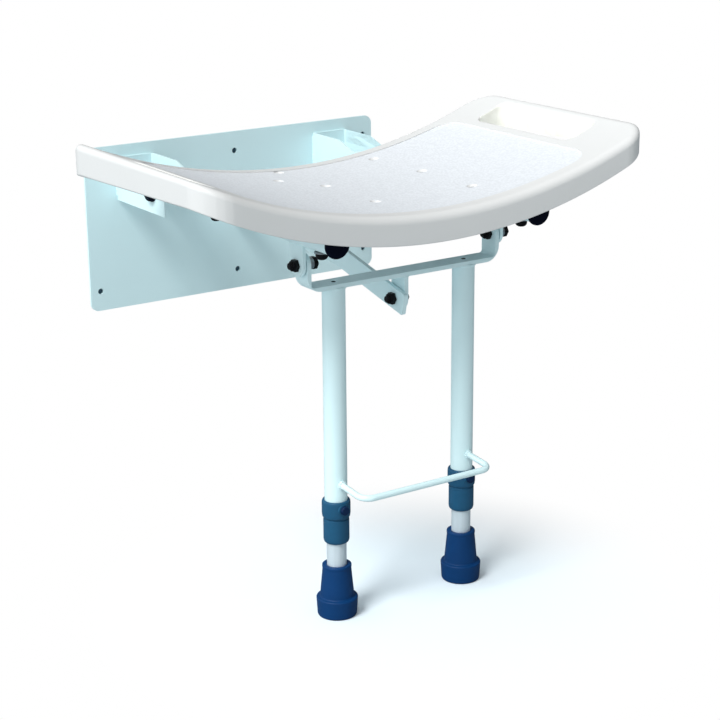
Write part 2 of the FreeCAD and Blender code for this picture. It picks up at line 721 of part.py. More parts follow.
def seat_board():
    # A dished tray with a skirt, slot walls, ribs and bosses, opened for the frame under it.
    blank = under_dish(seat_footprint(0, below_seat), 0)
    blank = blank.common(across_seat(seat_under_radius, skirt_low + seat_under_radius))
    blank = blank.makeFillet(seat_top_round, dish_edges(blank))
    board = blank.cut(under_dish(seat_footprint(seat_skin, below_seat), seat_skin))
    walls = []
    for sign in signs:
        wall = under_dish(slot_block(sign, slot_wall, below_seat), seat_skin - side_gap)
        walls.append(near_dish(wall, slot_wall_depth))
    board = board.multiFuse(walls + [seat_ribs()])
    cuts = [near_dish(rounded_block(-seat_inset_x, seat_inset_x, seat_front + seat_inset_margin,
                                    seat_rear - seat_inset_margin, seat_inset_corner,
                                    below_seat, above_seat), seat_inset_depth)]
    saddle = frame_radius + side_gap
    skirt_y = seat_rear - seat_skin - overrun
    for sign in signs:
        x = sign * frame_tube_x
        cuts.append(slot_block(sign, 0, below_seat - overrun))
        cuts.append(rod_y(saddle, tube_front + overrun, seat_rear + overrun, x, hinge_z))
        cuts.append(rod_y(frame_cap_diameter / 2 + seat_gap, tube_front + overrun,
                          tube_front - frame_cap_thickness - side_gap, x, hinge_z))
        cuts.append(box(x - saddle, x + saddle, skirt_y, seat_rear + overrun, below_seat, hinge_z))
    cuts.append(cross_bar_body(cross_bar_diameter / 2 + seat_gap))
    channel_front = link_drop - pivot_reach - link_height
    cuts.append(box(link_x - link_channel_width / 2, link_x + link_channel_width / 2,
                    front_y + channel_front, seat_rear + overrun, below_seat,
                    seat_top_z - seat_skin - seat_gap))
    for x_share, depth_share in drain_place_shares:
        cuts.append(rod_z(drain_diameter / 2, below_seat, above_seat, x_share * seat_half,
                          seat_rear - depth_share * seat_depth))
    for x, y in seat_bolt_places():
        cuts.append(rod_z(insert_diameter / 2, below_seat, insert_top_z, x, y))
    for tool in cuts:
        board = board.cut(tool)
    save("seat_board", board.removeSplitter())


def seat_bolts():
    bolts = []
    washers = []
    inserts = []
    washer_top = hinge_z - frame_radius
    head_top = washer_top - seat_bolt_washer
    head_low = head_top - seat_bolt_head_height
    for x, y in seat_bolt_places():
        head = rod_z(seat_bolt_head_diameter / 2, head_low, head_top, x, y)
        head = head.makeFillet(seat_bolt_head_round, edges_at(head, 2, head_low))
        shank = rod_z(seat_bolt_diameter / 2, head_top, insert_top_z, x, y)
        bolts.append(head.fuse(shank).removeSplitter())
        washer = rod_z(seat_bolt_washer_diameter / 2, head_top, washer_top, x, y)
        washers.append(washer.cut(shank))
        insert = rod_z(insert_diameter / 2, insert_low_z, insert_top_z, x, y)
        inserts.append(insert.cut(shank))
    save("seat_bolts", *bolts)
    save("seat_bolt_washers", *washers)
    save("seat_inserts", *inserts)


wall_plate()
seat_brackets()
seat_hinge()
seat_frame()
leg_lugs()
leg_pivots()
leg_yoke()
link_front_pivot()
folding_link()
link_wall_bracket()
legs()
extensions_and_feet()
carry_loop()
seat_board()
seat_bolts()
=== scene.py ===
import json
import math

import bmesh
import bpy
from bpy.props import FloatProperty, FloatVectorProperty, IntProperty, PointerProperty
from mathutils import Matrix, Vector


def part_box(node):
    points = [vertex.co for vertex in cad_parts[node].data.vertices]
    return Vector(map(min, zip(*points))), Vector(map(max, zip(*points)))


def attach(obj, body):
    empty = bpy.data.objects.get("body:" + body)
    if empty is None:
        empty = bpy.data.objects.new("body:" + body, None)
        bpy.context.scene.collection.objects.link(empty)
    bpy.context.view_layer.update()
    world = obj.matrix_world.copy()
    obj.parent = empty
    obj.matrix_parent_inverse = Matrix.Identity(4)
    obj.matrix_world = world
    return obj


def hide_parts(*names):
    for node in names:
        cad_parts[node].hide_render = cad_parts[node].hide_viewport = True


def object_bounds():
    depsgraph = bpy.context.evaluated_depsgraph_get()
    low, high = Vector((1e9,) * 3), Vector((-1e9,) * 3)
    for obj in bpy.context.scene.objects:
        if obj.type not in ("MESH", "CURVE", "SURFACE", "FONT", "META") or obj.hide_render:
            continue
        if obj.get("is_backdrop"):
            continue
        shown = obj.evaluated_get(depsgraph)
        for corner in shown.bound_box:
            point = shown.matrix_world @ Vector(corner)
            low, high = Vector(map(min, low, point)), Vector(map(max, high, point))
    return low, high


bl_info = {
    "name": "Fold-up shower seat",
    "version": (1, 0, 0),
    "blender": (4, 5, 0),
    "location": "View3D > Sidebar > Shower seat",
    "description": "Dresses the frame of a wall-mounted shower seat with its finished pieces",
    "category": "Object",
}

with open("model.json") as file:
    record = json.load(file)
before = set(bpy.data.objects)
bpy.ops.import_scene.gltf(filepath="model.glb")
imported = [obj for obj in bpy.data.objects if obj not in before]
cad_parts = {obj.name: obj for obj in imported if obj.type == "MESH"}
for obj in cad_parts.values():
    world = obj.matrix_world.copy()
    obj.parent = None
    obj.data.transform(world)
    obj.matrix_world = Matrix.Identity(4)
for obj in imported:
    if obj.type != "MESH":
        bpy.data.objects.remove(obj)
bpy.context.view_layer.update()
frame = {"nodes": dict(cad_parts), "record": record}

MM = 0.001
X = Vector((1, 0, 0))
Y = Vector((0, 1, 0))
Z = Vector((0, 0, 1))
SIDES = (("left", -1), ("right", 1))


class Extent:
    """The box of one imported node."""

    def __init__(self, node):
        self.low, self.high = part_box(node)
        self.mid = (self.low + self.high) / 2
        self.size = self.high - self.low


# Sizes that a user would change, all in metres

class SeatSizes(bpy.types.PropertyGroup):
    edge_break: FloatProperty(name="Edge break", description="Rounding of sheet and bar edges",
                              default=0.6 * MM, min=0, unit="LENGTH")
    sheet_bend: FloatProperty(name="Sheet bend", description="Outside radius of a bend in sheet metal",
                              default=4.5 * MM, min=0, unit="LENGTH")
    weld_bead: FloatProperty(name="Weld bead", description="Radius of a weld bead",
                             default=1.7 * MM, min=0, unit="LENGTH")
    tube_wall: FloatProperty(name="Tube wall", description="Wall of the round tubes",
                             default=1.5 * MM, min=0, unit="LENGTH")
    board_rim: FloatProperty(name="Board rim", description="Height of the seat board's rim",
                             default=31 * MM, min=0, unit="LENGTH")
    board_corner: FloatProperty(name="Board corner", description="Corner radius of the seat board",
                                default=35 * MM, min=0, unit="LENGTH")
    board_round: FloatProperty(name="Board rounding", description="Rounding of the board's upper edge",
                               default=9 * MM, min=0, unit="LENGTH")
    board_skin: FloatProperty(name="Board skin", description="Wall of the moulded seat board",
                              default=4 * MM, min=0, unit="LENGTH")
    board_rib: FloatProperty(name="Rib depth", description="How far the ribs hang under the skin",
                             default=11 * MM, min=0, unit="LENGTH")
    grip_lip: FloatProperty(name="Grip lip", description="Rounding round the hand-grip slots",
                            default=3.5 * MM, min=0, unit="LENGTH")
    inset_depth: FloatProperty(name="Inset depth", description="Depth of the textured sitting area",
                               default=1.3 * MM, min=0, unit="LENGTH")
    turn_steps: IntProperty(name="Turn steps", description="Flats round a turned piece",
                            default=72, min=12)


class SeatColours(bpy.types.PropertyGroup):
    paint: FloatVectorProperty(name="Frame paint", description="Powder coat of the metal frame",
                               subtype="COLOR", default=(0.66, 0.85, 0.885), min=0, max=1)
    board: FloatVectorProperty(name="Board", description="Moulded plastic of the seat board",
                               subtype="COLOR", default=(0.665, 0.668, 0.668), min=0, max=1)
    sitting: FloatVectorProperty(name="Sitting area", description="Textured area of the seat board",
                                 subtype="COLOR", default=(0.70, 0.725, 0.765), min=0, max=1)
    collar: FloatVectorProperty(name="Collar", description="Lock rings and guide sleeves",
                                subtype="COLOR", default=(0.011, 0.074, 0.152), min=0, max=1)
    foot: FloatVectorProperty(name="Foot", description="Rubber feet",
                              subtype="COLOR", default=(0.001, 0.033, 0.122), min=0, max=1)
    knob: FloatVectorProperty(name="Knob", description="Lock knobs",
                              subtype="COLOR", default=(0.002, 0.016, 0.060), min=0, max=1)
    cap: FloatVectorProperty(name="Cap", description="End caps and nut caps",
                             subtype="COLOR", default=(0.002, 0.003, 0.010), min=0, max=1)
    # Painted light: the slot walls are the board's own plastic, given this lighter, warmer colour to stand
    # for the light falling on them.
    grip: FloatVectorProperty(name="Grip walls", description="Smooth walls of the hand-grip slots",
                              subtype="COLOR", default=(0.90, 0.885, 0.80), min=0, max=1)
    nylon: FloatVectorProperty(name="Nylon", description="Washers and spacers",
                               subtype="COLOR", default=(0.78, 0.80, 0.80), min=0, max=1)
    black: FloatVectorProperty(name="Black fasteners", description="Black coated nuts and bolts",
                               subtype="COLOR", default=(0.003, 0.003, 0.004), min=0, max=1)
    steel: FloatVectorProperty(name="Bolts", description="Zinc plated bolts and springs",
                               subtype="COLOR", default=(0.42, 0.44, 0.46), min=0, max=1)
    extension: FloatVectorProperty(name="Extension", description="Anodised extension tubes",
                                   subtype="COLOR", default=(0.70, 0.80, 0.86), min=0, max=1)
    brass: FloatVectorProperty(name="Inserts", description="Threaded inserts",
                               subtype="COLOR", default=(0.60, 0.42, 0.16), min=0, max=1)


def sizes():
    return bpy.context.scene.seat_sizes


def colours():
    return bpy.context.scene.seat_colours


# Shader maths written as Python sums

class Wire:
    """A node's output that can be added, multiplied and so on."""

    def __init__(self, nodes, socket):
        self.nodes = nodes
        self.socket = socket

    def maths(self, operation, first, second):
        return self.nodes.node("ShaderNodeMath", {"operation": operation}, {0: first, 1: second})

    def __add__(self, other):
        return self.maths("ADD", self, other)

    def __radd__(self, other):
        return self.maths("ADD", other, self)

    def __sub__(self, other):
        return self.maths("SUBTRACT", self, other)

    def __rsub__(self, other):
        return self.maths("SUBTRACT", other, self)

    def __mul__(self, other):
        return self.maths("MULTIPLY", self, other)

    def __rmul__(self, other):
        return self.maths("MULTIPLY", other, self)

    def __pow__(self, other):
        return self.maths("POWER", self, other)


class Nodes:
    """An emptied node tree that is filled one node at a time."""

    def __init__(self, owner):
        owner.use_nodes = True
        self.tree = owner.node_tree
        self.tree.nodes.clear()

    def node(self, kind, settings=None, values=None, output=0, stops=()):
        node = self.tree.nodes.new(kind)
        for key, value in (settings or {}).items():
            setattr(node, key, value)
        for index, (position, shade) in enumerate(stops):
            elements = node.color_ramp.elements
            stop = elements[index] if index < len(elements) else elements.new(position)
            stop.position = position
            stop.color = (shade, shade, shade, 1)
        for key, value in (values or {}).items():
            if isinstance(value, Wire):
                self.tree.links.new(value.socket, node.inputs[key])
            else:
                node.inputs[key].default_value = value
        return Wire(self, node.outputs[output]) if node.outputs else None


class Finish(Nodes):
    """A material under construction."""

    def __init__(self, name):
        self.material = bpy.data.materials.new(name)
        super().__init__(self.material)
        self.place = self.node("ShaderNodeTexCoord", output="Object")

    def stretched(self, scale):
        return self.node("ShaderNodeMapping", values={"Vector": self.place, "Scale": scale})

    def noise(self, scale, detail=2.0, place=None, roughness=0.5):
        return self.node("ShaderNodeTexNoise", values={
            "Vector": place or self.place, "Scale": scale, "Detail": detail,
            "Roughness": roughness}, output="Fac")

    def cells(self, scale, feature="F1", place=None):
        return self.node("ShaderNodeTexVoronoi", {"feature": feature}, {
            "Vector": place or self.place, "Scale": scale}, output="Distance")

    def ramp(self, value, stops):
        return self.node("ShaderNodeValToRGB", values={"Fac": value}, stops=stops)

    def blend(self, share, first, second):
        return self.node("ShaderNodeMix", {"data_type": "RGBA"}, {
            0: share, 6: first if isinstance(first, Wire) else (*first, 1),
            7: second if isinstance(second, Wire) else (*second, 1)}, output=2)

    def bump(self, height, strength, distance, under=None):
        values = {"Height": height, "Strength": strength, "Distance": distance}
        if under is not None:
            values["Normal"] = under
        return self.node("ShaderNodeBump", values=values)

    def done(self, **values):
        named = {key.replace("_", " ").title().replace("Ior", "IOR"): value
                 for key, value in values.items()}
        for key, value in named.items():
            if isinstance(value, tuple) and len(value) == 3:
                named[key] = (*value, 1)
        shader = self.node("ShaderNodeBsdfPrincipled", values=named)
        self.node("ShaderNodeOutputMaterial", values={"Surface": shader})
        return self.material


def shade(colour, share):
    return tuple(min(1.0, part * share) for part in colour)


def frame_paint():
    f = Finish("frame_paint")
    peel = f.noise(420, 2)
    cloud = f.noise(9, 3)
    colour = f.blend(cloud, shade(colours().paint, 0.97), shade(colours().paint, 1.03))
    return f.done(base_color=colour, roughness=0.30 + 0.12 * f.noise(60, 3),
                  normal=f.bump(peel, 0.12, 0.3 * MM), specular_ior_level=0.5)


def board_plastic():
    f = Finish("board_plastic")
    grain = f.noise(900, 2)
    flow = f.noise(14, 3)
    colour = f.blend(flow, shade(colours().board, 0.975), shade(colours().board, 1.02))
    return f.done(base_color=colour, roughness=0.36 + 0.14 * f.noise(70, 3),
                  normal=f.bump(grain, 0.10, 0.2 * MM), specular_ior_level=0.45)


def sitting_texture():
    # A pebbled surface: rounded grains of about three millimetres with fine grit between them.
    f = Finish("sitting_texture")
    drift = f.noise(150, 2)
    grains = f.cells(330)
    large = f.cells(120)
    grit = f.noise(1300, 2)
    height = (1 - grains) * 0.7 + (1 - large) * 0.5 + grit * 0.25
    # Painted shade: the colour darkens in the hollows between the grains, mixed with a random drift in tone.
    mottle_and_hollow_shade = f.ramp(drift * 0.45 + grains * 0.75, ((0.25, 1.0), (0.75, 0.0)))
    colour = f.blend(mottle_and_hollow_shade, shade(colours().sitting, 0.93), shade(colours().sitting, 1.05))
    return f.done(base_color=colour, roughness=0.42 + 0.2 * grit,
                  normal=f.bump(height, 0.55, 0.5 * MM), specular_ior_level=0.4)


def collar_plastic():
    f = Finish("collar_plastic")
    drawn = f.noise(90, 2, f.stretched((1, 1, 0.08)))
    colour = f.blend(f.noise(45, 3), shade(colours().collar, 0.80), shade(colours().collar, 1.25))
    return f.done(base_color=colour, roughness=0.30 + 0.16 * drawn,
                  normal=f.bump(f.noise(700, 2), 0.18, 0.25 * MM), specular_ior_level=0.20)


def foot_rubber():
    f = Finish("foot_rubber")
    bloom = f.noise(30, 4)
    colour = f.blend(bloom, shade(colours().foot, 0.82), shade(colours().foot, 1.3))
    return f.done(base_color=colour, roughness=0.36 + 0.2 * f.noise(110, 3),
                  normal=f.bump(f.noise(800, 3), 0.25, 0.3 * MM), specular_ior_level=0.16)


def plain_moulding(name, colour, roughness, shine=0.5):
    f = Finish(name)
    tone = f.blend(f.noise(60, 3), shade(colour, 0.85), shade(colour, 1.2))
    return f.done(base_color=tone, roughness=roughness + 0.12 * f.noise(200, 2),
                  normal=f.bump(f.noise(900, 2), 0.12, 0.2 * MM), specular_ior_level=shine)


def turned_metal(name, colour, roughness, stretch):
    f = Finish(name)
    lines = f.noise(260, 3, f.stretched(stretch))
    tone = f.blend(lines, shade(colour, 0.88), shade(colour, 1.08))
    return f.done(base_color=tone, metallic=1.0, roughness=roughness + 0.16 * lines,
                  normal=f.bump(lines, 0.08, 0.15 * MM))


def anodised_tube():
    f = Finish("extension_metal")
    lines = f.noise(300, 3, f.stretched((1, 1, 0.03)))
    tone = f.blend(lines, shade(colours().extension, 0.90), shade(colours().extension, 1.06))
    return f.done(base_color=tone, metallic=0.35, roughness=0.30 + 0.14 * lines,
                  normal=f.bump(lines, 0.10, 0.15 * MM))


MATERIALS = {}


def make_materials():
    MATERIALS.update(
        frame_paint=frame_paint(), seat_plastic=board_plastic(), sitting=sitting_texture(),
        collar_plastic=collar_plastic(), foot_rubber=foot_rubber(), extension_metal=anodised_tube(),
        cap_plastic=plain_moulding("cap_plastic", colours().cap, 0.40, 0.03),
        knob_plastic=plain_moulding("knob_plastic", colours().knob, 0.35, 0.15),
        nylon=plain_moulding("nylon", colours().nylon, 0.42),
        grip=plain_moulding("slot_walls_painted_light", colours().grip, 0.34),
        black_fastener=plain_moulding("black_fastener", colours().black, 0.42, 0.15),
        bolt_steel=turned_metal("bolt_steel", colours().steel, 0.28, (1, 1, 1)),
        spring_steel=turned_metal("spring_steel", colours().steel, 0.22, (1, 1, 6)),
        insert_brass=turned_metal("insert_brass", colours().brass, 0.30, (1, 1, 4)))


# Making meshes

def basis(axis):
    """A turn that takes +Z to this axis."""
    return Z.rotation_difference(axis).to_matrix().to_4x4()


def edges_of(verts):
    chosen = set(verts)
    return list({edge for vert in verts for edge in vert.link_edges
                 if edge.verts[0] in chosen and edge.verts[1] in chosen})


def turned(bm, profile, base, axis):
    """A turned part. The profile is a ring of (radius, height) points above the base."""
    before = set(bm.verts)
    side = axis.orthogonal().normalized()
    points = [bm.verts.new(base + side * radius + axis * height) for radius, height in profile]
    lines = []
    for (one, (r0, _)), (two, (r1, _)) in zip(
            zip(points, profile), zip(points[1:] + points[:1], profile[1:] + profile[:1])):
        if r0 > 0 or r1 > 0:
            lines.append(bm.edges.new((one, two)))
    bmesh.ops.spin(bm, geom=points + lines, cent=base, axis=axis, dvec=(0, 0, 0), angle=math.tau,
                   steps=sizes().turn_steps, use_merge=True)
    made = [vert for vert in bm.verts if vert not in before]
    bmesh.ops.remove_doubles(bm, verts=made, dist=MM / 1000)
    return [vert for vert in bm.verts if vert not in before]


def pipe(bm, outer, wall, base, axis, length):
    return turned(bm, [(outer, 0), (outer, length), (outer - wall, length), (outer - wall, 0)],
                  base, axis)


def rod(bm, radius, base, axis, length):
    return turned(bm, [(0, 0), (radius, 0), (radius, length), (0, length)], base, axis)


def domed(radius, low, high, crown, steps=5):
    """The profile of a knob or head whose top edge is rounded by the crown."""
    profile = [(0, low), (radius, low)]
    for step in range(steps + 1):
        turn = math.pi / 2 * step / steps
        profile.append((radius - crown * (1 - math.cos(turn)), high - crown * (1 - math.sin(turn))))
    return profile + [(0, high)]


def block(bm, low, high):
    """A box between two corners."""
    span = high - low
    place = Matrix.Translation((low + high) / 2) @ Matrix.Diagonal((*span, 1))
    return bmesh.ops.create_cube(bm, size=1, matrix=place)["verts"]


def slab(bm, outline, sweep, rounds=None):
    """A flat piece: an outline of points, some corners rounded, swept by a vector."""
    verts = [bm.verts.new(point) for point in outline]
    bm.faces.new(verts)
    before = set(bm.faces)
    keep = next(face for face in verts[0].link_faces)
    for index, radius in (rounds or {}).items():
        corner = verts[index]
        to_last = (verts[index - 1].co - corner.co).normalized()
        to_next = (verts[(index + 1) % len(verts)].co - corner.co).normalized()
        half = to_last.angle(to_next) / 2
        bmesh.ops.bevel(bm, geom=[corner], offset=radius / math.tan(half), segments=12, profile=0.5,
                        affect="VERTICES", material=-1, clamp_overlap=True)
        keep = next((face for face in bm.faces if face not in before), keep)
    region = bmesh.ops.extrude_face_region(bm, geom=[keep])["geom"]
    moved = [part for part in region if isinstance(part, bmesh.types.BMVert)]
    bmesh.ops.translate(bm, verts=moved, vec=sweep)
    return moved


def soften(bm, width, segments=2, sharper=40.0, only=None):
    """Rounds the edges that turn by more than an angle in degrees."""
    limit = math.radians(sharper)
    bm.normal_update()
    edges = [edge for edge in bm.edges if len(edge.link_faces) == 2
             and edge.calc_face_angle(0) > limit and (only is None or only(edge))]
    if edges:
        bmesh.ops.bevel(bm, geom=edges, offset=width, segments=segments, profile=0.5,
                        affect="EDGES", material=-1, clamp_overlap=True)


def tidy(bm):
    bmesh.ops.remove_doubles(bm, verts=bm.verts, dist=MM / 2000)
    bmesh.ops.recalc_face_normals(bm, faces=bm.faces)


def mesh_object(bm, name):
    mesh = bpy.data.meshes.new(name)
    bm.to_mesh(mesh)
    bm.free()
    thing = bpy.data.objects.new(name, mesh)
    bpy.context.scene.collection.objects.link(thing)
    return thing


def joined(bm, other, operation):
    """The boolean sum or difference of two meshes."""
    base = mesh_object(bm, "base")
    tool = mesh_object(other, "tool")
    change = base.modifiers.new("change", "BOOLEAN")
    change.object = tool
    change.operation = operation
    change.solver = "EXACT"
    graph = bpy.context.evaluated_depsgraph_get()
    mesh = bpy.data.meshes.new_from_object(base.evaluated_get(graph))
    result = bmesh.new()
    result.from_mesh(mesh)
    bpy.data.objects.remove(base)
    bpy.data.objects.remove(tool)
    bpy.data.meshes.remove(mesh)
    return result


def piece(bm, node, body, slot, sharp=38.0, materials=None):
    """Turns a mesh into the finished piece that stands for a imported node."""
    tidy(bm)
    thing = mesh_object(bm, node + "_finished")
    for material in materials or (MATERIALS[slot],):
        thing.data.materials.append(material)
    thing.data.polygons.foreach_set("use_smooth", [True] * len(thing.data.polygons))
    thing.data.set_sharp_from_angle(angle=math.radians(sharp))
    weighted = thing.modifiers.new("even_shading", "WEIGHTED_NORMAL")
    weighted.keep_sharp = True
    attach(thing, body)
    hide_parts(node)
    return thing


def weld_line(bm, start, end, facing):
    """A rippled weld bead along a corner, its back turned away from the facing direction."""
    run = end - start
    bead = sizes().weld_bead
    count = max(3, round(run.length / (bead * 1.1)))
    for step in range(count):
        place = start + run * (step + 0.5) / count
        size = bead * (1.0 + 0.08 * math.sin(step * 2.3))
        squash = Matrix.Diagonal((size, size, size, 1))
        turn = basis(facing)
        bmesh.ops.create_uvsphere(bm, u_segments=10, v_segments=6, radius=1,
                                  matrix=Matrix.Translation(place) @ turn @ squash)


def weld_ring(bm, centre, axis, radius):
    """A rippled weld bead round a tube."""
    bead = sizes().weld_bead
    count = round(math.tau * radius / (bead * 1.1))
    side = axis.orthogonal().normalized()
    for step in range(count):
        turn = Matrix.Rotation(math.tau * step / count, 4, axis)
        size = bead * (1.0 + 0.07 * math.sin(step * 2.7))
        bmesh.ops.create_uvsphere(bm, u_segments=10, v_segments=6, radius=size,
                                  matrix=Matrix.Translation(centre + turn @ (side * radius)))


# The wall side

def wall_hole_places(plate):
    inset_x = 13 * MM
    inset_z = 23.5 * MM
    return [Vector((x, plate.low.y, z))
            for x in (plate.low.x + inset_x, plate.mid.x, plate.high.x - inset_x)
            for z in (plate.low.z + inset_z, plate.high.z - inset_z)]


def wall_plate_piece():
    extent = Extent("wall_plate")
    low, high = extent.low, extent.high
    corner_radius = 10 * MM
    hole_radius = 3.5 * MM
    bm = bmesh.new()
    outline = [bm.verts.new((x, low.y, z)) for x, z in
               ((low.x, low.z), (high.x, low.z), (high.x, high.z), (low.x, high.z))]
    face = bm.faces.new(outline)
    bmesh.ops.bevel(bm, geom=outline, offset=corner_radius, segments=12, profile=0.5,
                    affect="VERTICES", material=-1)
    bmesh.ops.delete(bm, geom=list(bm.faces), context="FACES_ONLY")
    for place in wall_hole_places(extent):
        bmesh.ops.create_circle(bm, cap_ends=False, segments=28, radius=hole_radius,
                                matrix=Matrix.Translation(place) @ basis(Y))
    bmesh.ops.triangle_fill(bm, use_beauty=True, use_dissolve=False, edges=list(bm.edges))
    grown = bmesh.ops.extrude_face_region(bm, geom=list(bm.faces))["geom"]
    bmesh.ops.translate(bm, verts=[part for part in grown if isinstance(part, bmesh.types.BMVert)],
                        vec=Y * extent.size.y)
    bmesh.ops.recalc_face_normals(bm, faces=bm.faces)
    soften(bm, sizes().edge_break)
    piece(bm, "wall_plate", "wall", "frame_paint")


def channel(bm, low, high, sheet, front_cut=None):
    """An upright channel of sheet metal, open to -Y, its web at the high Y side."""
    outline = [(low.x, low.y), (low.x, high.y), (high.x, high.y), (high.x, low.y),
               (high.x - sheet, low.y), (high.x - sheet, high.y - sheet),
               (low.x + sheet, high.y - sheet), (low.x + sheet, low.y)]
    inner_bend = sizes().sheet_bend - sheet if sizes().sheet_bend > sheet else sheet / 2
    corners = [Vector((x, y, low.z)) for x, y in outline]
    rounds = {1: sizes().sheet_bend}
    slab_into(bm, corners, Z * (high.z - low.z),
              {1: sizes().sheet_bend, 2: sizes().sheet_bend, 5: inner_bend, 6: inner_bend})
    if front_cut:
        point, normal = front_cut
        cut = bmesh.ops.bisect_plane(bm, geom=bm.verts[:] + bm.edges[:] + bm.faces[:], dist=MM / 10000,
                                     plane_co=point, plane_no=normal, clear_outer=True)
        seam = [part for part in cut["geom_cut"] if isinstance(part, bmesh.types.BMEdge)]
        bmesh.ops.holes_fill(bm, edges=seam, sides=0)


def slab_into(bm, corners, sweep, rounds):
    """A slab whose corners are rounded after it is swept, so each bend has its own radius."""
    verts = [bm.verts.new(point) for point in corners]
    face = bm.faces.new(verts)
    region = bmesh.ops.extrude_face_region(bm, geom=[face])["geom"]
    bmesh.ops.translate(bm, verts=[part for part in region if isinstance(part, bmesh.types.BMVert)],
                        vec=sweep)
    for index, radius in rounds.items():
        place = corners[index]
        risers = [edge for edge in bm.edges
                  if all((vert.co - place).cross(sweep).length < MM * MM for vert in edge.verts)]
        bmesh.ops.bevel(bm, geom=risers, offset=radius, segments=8, profile=0.5, affect="EDGES",
                        material=-1, clamp_overlap=True)


def bracket_pieces():
    sheet = 2.5 * MM
    slope_run = 61 * MM
    slope_drop = 20 * MM
    outer_cheek = 34 * MM
    for side, sign in SIDES:
        extent = Extent("seat_bracket_" + side)
        low, high = extent.low, extent.high
        knee = Vector((0, low.y + slope_run, high.z))
        bm = bmesh.new()
        channel(bm, low, high, sheet, (knee, Vector((0, -slope_drop, slope_run)).normalized()))
        bmesh.ops.recalc_face_normals(bm, faces=bm.faces)
        cheek_xs = sorted((extent.mid.x + sign * (extent.size.x / 2 - sheet),
                           extent.mid.x + sign * (extent.size.x / 2 + sheet)))
        above = bmesh.new()
        block(above, Vector((cheek_xs[0], low.y - sheet, low.z + outer_cheek)),
              Vector((cheek_xs[1], high.y - sheet, high.z + sheet)))
        bmesh.ops.recalc_face_normals(above, faces=above.faces)
        bm = joined(bm, above, "DIFFERENCE")
        soften(bm, sizes().edge_break)
        inner = sizes().sheet_bend
        for x, facing in ((low.x + inner * 0.45, -X), (high.x - inner * 0.45, X)):
            weld_line(bm, Vector((x, high.y - 0.4 * MM, low.z + inner)),
                      Vector((x, high.y - 0.4 * MM, high.z - inner)), facing)
        piece(bm, "seat_bracket_" + side, "wall", "frame_paint")


def link_bracket_piece():
    extent = Extent("link_wall_bracket")
    sheet = 3 * MM
    bm = bmesh.new()
    channel(bm, extent.low, extent.high, sheet)
    bmesh.ops.recalc_face_normals(bm, faces=bm.faces)
    round_radius = extent.size.z / 2 * 0.92
    nose = [edge for edge in bm.edges
            if all(abs(vert.co.y - extent.low.y) < MM / 10 for vert in edge.verts)
            and abs(edge.verts[0].co.z - edge.verts[1].co.z) < MM / 10]
    bmesh.ops.bevel(bm, geom=nose, offset=round_radius, segments=10, profile=0.5, affect="EDGES",
                    material=-1, clamp_overlap=True)
    soften(bm, sizes().edge_break * 0.8)
    piece(bm, "link_wall_bracket", "wall", "frame_paint")


# Fasteners

def hexagon(bm, radius, base, axis, height, chamfer):
    """A hexagon head or nut whose outer corners are chamfered."""
    before = set(bm.verts)
    place = Matrix.Translation(base) @ basis(axis)
    face = bmesh.ops.create_circle(bm, cap_ends=True, segments=6, radius=radius,
                                   matrix=place)["verts"][0].link_faces[0]
    grown = bmesh.ops.extrude_face_region(bm, geom=[face])["geom"]
    top = [part for part in grown if isinstance(part, bmesh.types.BMVert)]
    bmesh.ops.translate(bm, verts=top, vec=axis * height)
    rim = edges_of(top)
    bmesh.ops.bevel(bm, geom=rim, offset=chamfer, segments=2, profile=0.5, affect="EDGES",
                    material=-1)
    return [vert for vert in bm.verts if vert not in before]


def thread(bm, radius, base, axis, length, pitch):
    """A threaded end, its turns drawn as close ridges with a rounded tip."""
    depth = pitch * 0.45
    count = max(1, int(length / pitch) - 1)
    profile = [(0, 0), (radius - depth, 0)]
    for turn in range(count):
        profile.append((radius, (turn + 0.5) * pitch))
        profile.append((radius - depth, (turn + 1.0) * pitch))
    profile += [(radius - depth, length - depth), (radius - 2 * depth, length), (0, length)]
    turned(bm, profile, base, axis)


def lock_nut(bm, radius, face, axis, height):
    """A hexagon nut with a round collar for its locking ring."""
    hexagon(bm, radius, face, axis, height * 0.72, radius * 0.09)
    collar = radius * 0.80
    turned(bm, [(0, height * 0.70), (collar, height * 0.70), (collar, height * 0.93),
                (collar * 0.92, height), (0, height)], face, axis)


def capped_bolt(bm, radius, head_radius, head_height, head_face, tail, axis):
    """A hexagon bolt: its head stands on the face away from the axis direction of its shank."""
    hexagon(bm, head_radius, head_face, -axis, head_height, head_radius * 0.10)
    length = (tail - head_face).length
    end = 6 * MM
    rod(bm, radius, head_face, axis, length - end)
    thread(bm, radius, head_face + axis * (length - end), axis, end, 1.0 * MM)


